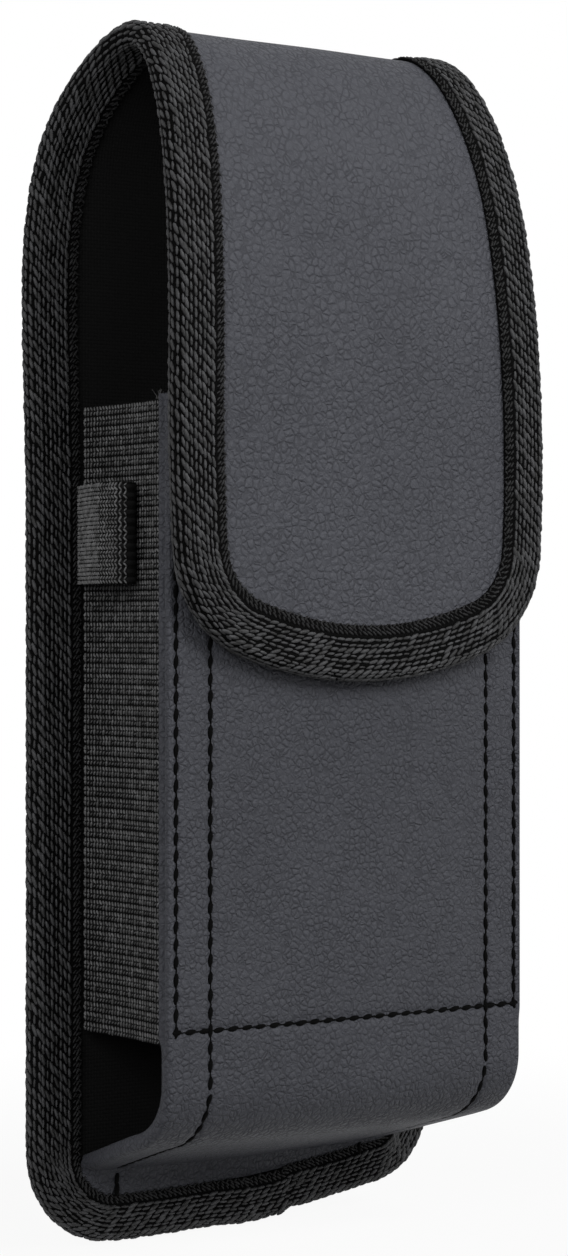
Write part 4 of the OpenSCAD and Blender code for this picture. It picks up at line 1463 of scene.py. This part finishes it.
@dataclass
class RibbedBand:
    """Ribbed elastic standing on a line: a sheet, the ribs over it and the knit on each rib.

    The plan is the whole line from above, and the face is the part of it that has knit. The knit
    lies knit_off outside the line, in two rows at knit_step above and below each rib's middle.
    """

    plan: np.ndarray
    face: np.ndarray
    side: int
    low: float
    height: float
    thick: float
    ribs: int
    sheet_rows: int
    rib_w: float
    knit_off: float
    knit_step: float
    rib_share: float = 0.86

    def sheet(self, name: str, material: bpy.types.Material) -> bpy.types.Object:
        """The elastic's own sheet behind its ribs."""
        across = sideways(self.plan) * self.thick / 2
        zs = np.linspace(self.low, self.low + self.height, self.sheet_rows)
        outer, inner = (np.vstack([self.standing(self.plan + off, z) for z in zs])
                        for off in (across, -across))
        return slab(name, outer, inner, flat_map(run_along(self.plan), zs), len(zs), material)

    @staticmethod
    def standing(line: np.ndarray, z: float) -> np.ndarray:
        """The points of a line in the plan at a height."""
        return np.column_stack([line, np.full(len(line), z)])

    def cords(self, kit: Workshop, name: str, material: bpy.types.Material) -> bpy.types.Object:
        """The ribs, one above the other."""
        pitch = self.height / self.ribs
        guide = Guide()
        guide.line(self.standing(self.plan, self.low + pitch / 2),
                   np.tile([1.0, 0, 0], (len(self.plan), 1)))
        return kit.follow(guide, name, kit.cords, Count=self.ribs, Pitch=pitch * MM,
                          Width=self.rib_w * MM, Height=pitch * self.rib_share * MM,
                          Material=material)

    def dashes(self) -> Guide:
        """Two lines on each rib's outer face, whose dashes lean against each other."""
        out = sideways(self.face)
        out *= np.sign(out[:, :1] * self.side)
        flat = self.face + out * self.knit_off
        guide = Guide()
        for k in range(self.ribs):
            mid = self.low + (k + 0.5) * self.height / self.ribs
            for lean in (1.0, -1.0):
                step = lean * self.knit_step
                guide.line(self.standing(flat, mid + step), self.standing(out, step), lean=lean)
        return guide

    def build(self, kit: Workshop, wear: Wardrobe, names: tuple[str, str, str],
              knit: Stitch) -> bpy.types.Object:
        """Builds the band, all riding on the pouch.

        Args:
            kit: The Geometry Nodes trees.
            wear: The finishes.
            names: Names of the sheet, the ribs and the knit.
            knit: One dash of the knit.

        Returns:
            The sheet.
        """
        sheet = self.sheet(names[0], wear.elastic)
        ribs = self.cords(kit, names[1], wear.rib)
        on_pouch(Slot.ELASTIC, sheet, ribs, kit.sew(self.dashes(), names[2], knit, wear.knit))
        return sheet


@dataclass
class ElasticSide:
    """One ribbed elastic between the back and the front strip."""

    side: int
    top: float = 22.8
    height: float = 101.0
    ribs: int = 61
    back_at: tuple[float, float] = (32.3, -3.0)
    front_at: tuple[float, float] = (35.7, -28.8)
    tab_w: float = 7.0
    thick: float = 1.2
    rib_h: float = 0.3
    draw_in: float = 0.7

    def plan(self) -> np.ndarray:
        """The elastic from above: a tab, the wall with its slight inward bow, and a tab."""
        a, b = np.array(self.back_at), np.array(self.front_at)
        f = np.linspace(0, 1, 25)[:, None]
        wall = a + (b - a) * f
        wall[:, 0] -= self.draw_in * np.sin(np.pi * f[:, 0])
        back = [(a[0] - self.tab_w + 0.6, a[1]), (a[0] - 1.0, a[1])]
        front = [(b[0] - 1.0, b[1]), (b[0] - self.tab_w + 0.6, b[1] - 0.05)]
        line = even(np.vstack([back, wall[1:-1], front]), 0.9)
        return line * [self.side, 1]

    def build(self, kit: Workshop, wear: Wardrobe) -> None:
        """Builds the sheet, its ribs and their knit face."""
        word = side_word(self.side)
        plan = self.plan()
        band = RibbedBand(plan, plan[5:-3], self.side, self.top - self.height, self.height,
                          self.thick, self.ribs, sheet_rows=52,
                          rib_w=self.thick + 2 * self.rib_h - 0.15,
                          knit_off=self.thick / 2 + self.rib_h - 0.18, knit_step=0.4)
        names = ("elastic_sheet_" + word, "elastic_ribs_" + word, "elastic_knit_" + word)
        dash = Stitch(1.05, 0.3, 0.44, pitch=0.9, slant=0.85 * self.side, jitter=0.22, seed=21)
        sheet = band.build(kit, wear, names, dash)
        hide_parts("elastic_" + word)


@dataclass
class PenLoop:
    """The flattened loop for a pen on the left side."""

    elastic: ElasticSide
    low: float = -6.0
    height: float = 16.0
    thick: float = 0.9
    start_y: float = -3.2
    reach: float = 18.5
    space: float = 1.8
    ribs: int = 12

    def _wall(self, y: float) -> float:
        """How far out the elastic's ribs stand at Y."""
        (x0, y0), (x1, y1) = self.elastic.back_at, self.elastic.front_at
        return x0 + (x1 - x0) * (y - y0) / (y1 - y0) + 0.75

    def plan(self) -> np.ndarray:
        """The loop from above: out along the side, round, and back."""
        r = (self.space + self.thick) / 2
        y1 = self.start_y - self.reach + r
        x0 = self._wall(self.start_y) - 0.5
        x1 = self._wall(y1) + 0.3 + self.thick / 2 + r
        turn = [(x1 + r * math.cos(a), y1 + r * math.sin(a))
                for a in np.radians(np.linspace(180, 360, 14))]
        over = [(x0 + side, self.start_y - back) for side, back in
                ((6.0, 12.8), (5.0, 9.3), (3.4, 5.8), (1.9, 2.8), (0.75, 0.0))]
        line = even(np.array([(x0, self.start_y)] + turn + over), 0.6)
        return line * [-1, 1]

    def build(self, kit: Workshop, wear: Wardrobe) -> None:
        """Builds the loop's band, its ribs and their knit face."""
        plan = self.plan()
        band = RibbedBand(plan, plan[len(plan) // 2:], -1, self.low, self.height, self.thick,
                          self.ribs, sheet_rows=14, rib_w=self.thick + 0.3,
                          knit_off=self.thick / 2 + 0.08, knit_step=0.33)
        dash = Stitch(0.85, 0.3, 0.4, pitch=0.8, slant=0.95, jitter=0.22, seed=23)
        sheet = band.build(kit, wear, ("pen_band", "pen_ribs", "pen_knit"), dash)
        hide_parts("pen_loop")


@dataclass
class BeltLoop:
    """One webbing belt loop at the rear, with its sewn ends."""

    side: int
    centre: float = 25.1
    width: float = 15.0
    thick: float = 1.6
    height: float = 76.0
    end: float = 8.0
    rise: float = 8.0
    gap: float = 6.0
    edge_r: float = 0.5
    seam_in: float = 1.8

    def off(self, z: np.ndarray) -> np.ndarray:
        """How far the loop stands off the panel at a height."""
        return self.gap * eased((self.height / 2 - self.end - np.abs(z)) / self.rise)

    def webbing(self, name: str, material: bpy.types.Material) -> bpy.types.Object:
        """The band of webbing with its rounded edges."""
        zs = np.linspace(-self.height / 2, self.height / 2, 96)
        r = self.edge_r
        x, top = self.width / 2 - r, self.thick - r
        ring = np.array([(cx + r * math.cos(a), cy + r * math.sin(a))
                         for cx, cy, first in ((x, top, 0), (-x, top, 90), (-x, r, 180),
                                               (x, r, 270))
                         for a in np.radians(np.linspace(first, first + 90, 4))])
        rows = [np.column_stack([ring[:, 0] + self.side * self.centre,
                                 ring[:, 1] + self.off(z) + 0.02, np.full(len(ring), z)])
                for z in zs]
        return outward(make_piece(name, np.vstack(rows), tube_faces(len(zs), len(ring), False),
                                  material, flat_map(run_along(ring), zs)))

    def seams(self) -> Guide:
        """The box of stitches with its two diagonals on each end."""
        guide = Guide()
        for top in (-1, 1):
            z0, z1 = top * (self.height / 2 - 1.4), top * (self.height / 2 - self.end + 0.6)
            x0, x1 = (self.side * self.centre + k * (self.width / 2 - self.seam_in)
                      for k in (-1, 1))
            for a, b in (((x0, z0), (x1, z0)), ((x1, z0), (x1, z1)), ((x1, z1), (x0, z1)),
                         ((x0, z1), (x0, z0)), ((x0, z0), (x1, z1)), ((x0, z1), (x1, z0))):
                line = even(np.array([a, b]), 0.6)
                points = np.insert(line, 1, self.thick + 0.02, axis=1)
                guide.line(points, np.tile([0.0, 1.0, 0.0], (len(line), 1)))
        return guide

    def build(self, kit: Workshop, wear: Wardrobe) -> None:
        """Builds the webbing and its stitches."""
        word = side_word(self.side)
        web = self.webbing("loop_webbing_" + word, wear.webbing)
        stitch = Stitch(1.8, 0.5, 0.45, pitch=2.2, lift=0.05, seed=13, segments=6, rings=4)
        seam = kit.sew(self.seams(), "loop_stitches_" + word, stitch, wear.thread)
        on_pouch(Slot.BINDING, web, seam)
        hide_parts("belt_loop_" + word)


@dataclass
class KeptNodes:
    """The frame's own pieces that stay, by finish."""

    board: tuple[str, ...] = ("front_board",)
    leather: tuple[str, ...] = ("clip_patch",)
    steel: tuple[str, ...] = ("front_keeper", "flap_magnet", "belt_clip", "clip_rivets",
                              "rivet_washers")

    def dress(self, wear: Wardrobe) -> None:
        """Gives each kept node its material."""
        for nodes, material in ((self.board, wear.board), (self.leather, wear.front_leather_shaded),
                                (self.steel, wear.steel)):
            for node in nodes:
                mesh = frame["nodes"][node].data
                mesh.materials.clear()
                mesh.materials.append(material)


@dataclass(frozen=True)
class Lamp:
    """One soft square lamp. Places and sizes are in metres, the power is in watts."""

    name: str
    place: Point
    aim: Point
    size: float
    power: float


@dataclass
class Studio:
    """Floor, lamps, surroundings and camera."""

    floor_z: float = -113.6
    floor_reach: float = 6000.0
    eye: Point = (-0.3808, -0.4786, -0.012)
    heading: float = 39.4
    lens: float = 104.05
    shift_x: float = -0.0018
    shift_y: float = -0.0048
    soft: float = 0.27
    less_above: float = 0.19
    lamps: tuple[Lamp, ...] = (Lamp("key", (0.22, -0.66, 0.42), (0, -0.03, 0.03), 0.45, 3.8),
                               Lamp("left", (-0.8, -0.52, 0.3), (0, 0, 0), 0.5, 3.5))

    @staticmethod
    def aimed(item: bpy.types.Object, place: Point, way: Vector) -> None:
        """Puts a camera or lamp at a place, looking along a way."""
        item.location = place
        item.rotation_mode = "QUATERNION"
        item.rotation_quaternion = way.to_track_quat("-Z", "Y")

    def camera(self) -> None:
        """Puts the camera where the photograph was taken from."""
        data = bpy.data.cameras.new("camera")
        data.lens, data.sensor_width = self.lens, 36.0
        data.shift_x, data.shift_y = self.shift_x, self.shift_y
        data.clip_start, data.clip_end = 0.01, 50.0
        camera = linked("camera", data)
        a = math.radians(self.heading)
        self.aimed(camera, self.eye, Vector((math.sin(a), math.cos(a), 0)))
        bpy.context.scene.camera = camera

    def light(self, lamp: Lamp) -> None:
        """Adds a lamp."""
        data = bpy.data.lights.new(lamp.name, "AREA")
        data.shape, data.size, data.energy = "SQUARE", lamp.size, lamp.power
        self.aimed(linked(lamp.name, data), lamp.place, Vector(lamp.aim) - Vector(lamp.place))

    def background_rays(self, s: Sheet) -> bpy.types.NodeSocket:
        """1 where a ray looks at the surroundings themselves, straight or by a mirror or glass."""
        path = s.add("ShaderNodeLightPath")
        seen = s.math("MAXIMUM", path.outputs["Is Camera Ray"], path.outputs["Is Glossy Ray"])
        return s.math("MAXIMUM", seen, path.outputs["Is Transmission Ray"])

    def world(self) -> None:
        """White for the eye, plain soft grey as a light, less of it from above."""
        world = bpy.data.worlds.new("surroundings")
        s = blank(world)
        white = s.add("ShaderNodeBackground", {"Color": (1, 1, 1, 1), "Strength": 1.0})
        way = s.add("ShaderNodeSeparateXYZ",
                    {0: s.add("ShaderNodeTexCoord").outputs["Generated"]})
        level = s.math("MULTIPLY_ADD", s.ramp(way.outputs[2], 0.15, 0.8), -self.less_above,
                       self.soft)
        grey_light = s.add("ShaderNodeBackground", {"Color": (1, 1, 1, 1), "Strength": level})
        mixed = s.add("ShaderNodeMixShader", {0: self.background_rays(s),
                                              1: grey_light.outputs[0], 2: white.outputs[0]})
        s.add("ShaderNodeOutputWorld", {"Surface": mixed.outputs[0]})
        bpy.context.scene.world = world

    def floor(self) -> None:
        """A plain pale floor that keeps the shadow."""
        material = bpy.data.materials.new("pale_floor")
        s = blank(material)
        looked_at = self.background_rays(s)
        matt = s.add("ShaderNodeBsdfDiffuse", {"Color": s.mix(looked_at, grey(0.08), grey(0.9))})
        glow = s.add("ShaderNodeEmission", {"Color": (1, 1, 1, 1), "Strength": 1.0})
        place = s.add("ShaderNodeTexCoord").outputs["Object"]
        away = s.add("ShaderNodeVectorMath", {0: place}, operation="LENGTH").outputs["Value"]
        glowing = s.math("MULTIPLY_ADD", s.ramp(away, 0.12, 0.3), 0.07, 0.93)
        share = s.math("MULTIPLY", looked_at, glowing)
        mixed = s.add("ShaderNodeMixShader", {0: share, 1: matt.outputs[0], 2: glow.outputs[0]})
        s.add("ShaderNodeOutputMaterial", {"Surface": mixed.outputs[0]})
        corners = [(x * self.floor_reach, y * self.floor_reach, self.floor_z)
                   for x, y in ((-1, -1), (1, -1), (1, 1), (-1, 1))]
        make_piece("floor", np.array(corners), [(0, 1, 2, 3)], material, smooth=False)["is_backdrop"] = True

    def build(self) -> None:
        """Sets up everything that isn't the object."""
        bpy.context.scene.view_settings.view_transform = "Standard"
        self.camera()
        self.world()
        self.floor()
        for lamp in self.lamps:
            self.light(lamp)


def main() -> None:
    """Builds the holster and reports each piece."""
    logging.basicConfig(level=logging.INFO, format="%(message)s")
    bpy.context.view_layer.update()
    Studio().build()
    kit, wear = Workshop(), Wardrobe()
    strip = BoundStrip()
    strip.build(kit, wear)
    FrontStrip(strip).build(kit, wear)
    for side in (-1, 1):
        ElasticSide(side).build(kit, wear)
        BeltLoop(side).build(kit, wear)
    PenLoop(ElasticSide(-1)).build(kit, wear)
    Fray("tape_fray", (12.6, -3.3, -107.0), (0.9, 0.05, 0.5), (0.3, -0.25, -0.5),
         seed=3).build(wear)
    Fray("elastic_fray", (-36.6, -28.2, 22.9), (0.5, 0.4, 0.3), (-0.15, -0.3, 0.9), count=14,
         length=2.0, seed=8).build(wear)
    KeptNodes().dress(wear)
    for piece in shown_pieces():
        log.info("%s rides on %s", piece.name, body_of(piece))


if __name__ == "__main__":
    main()
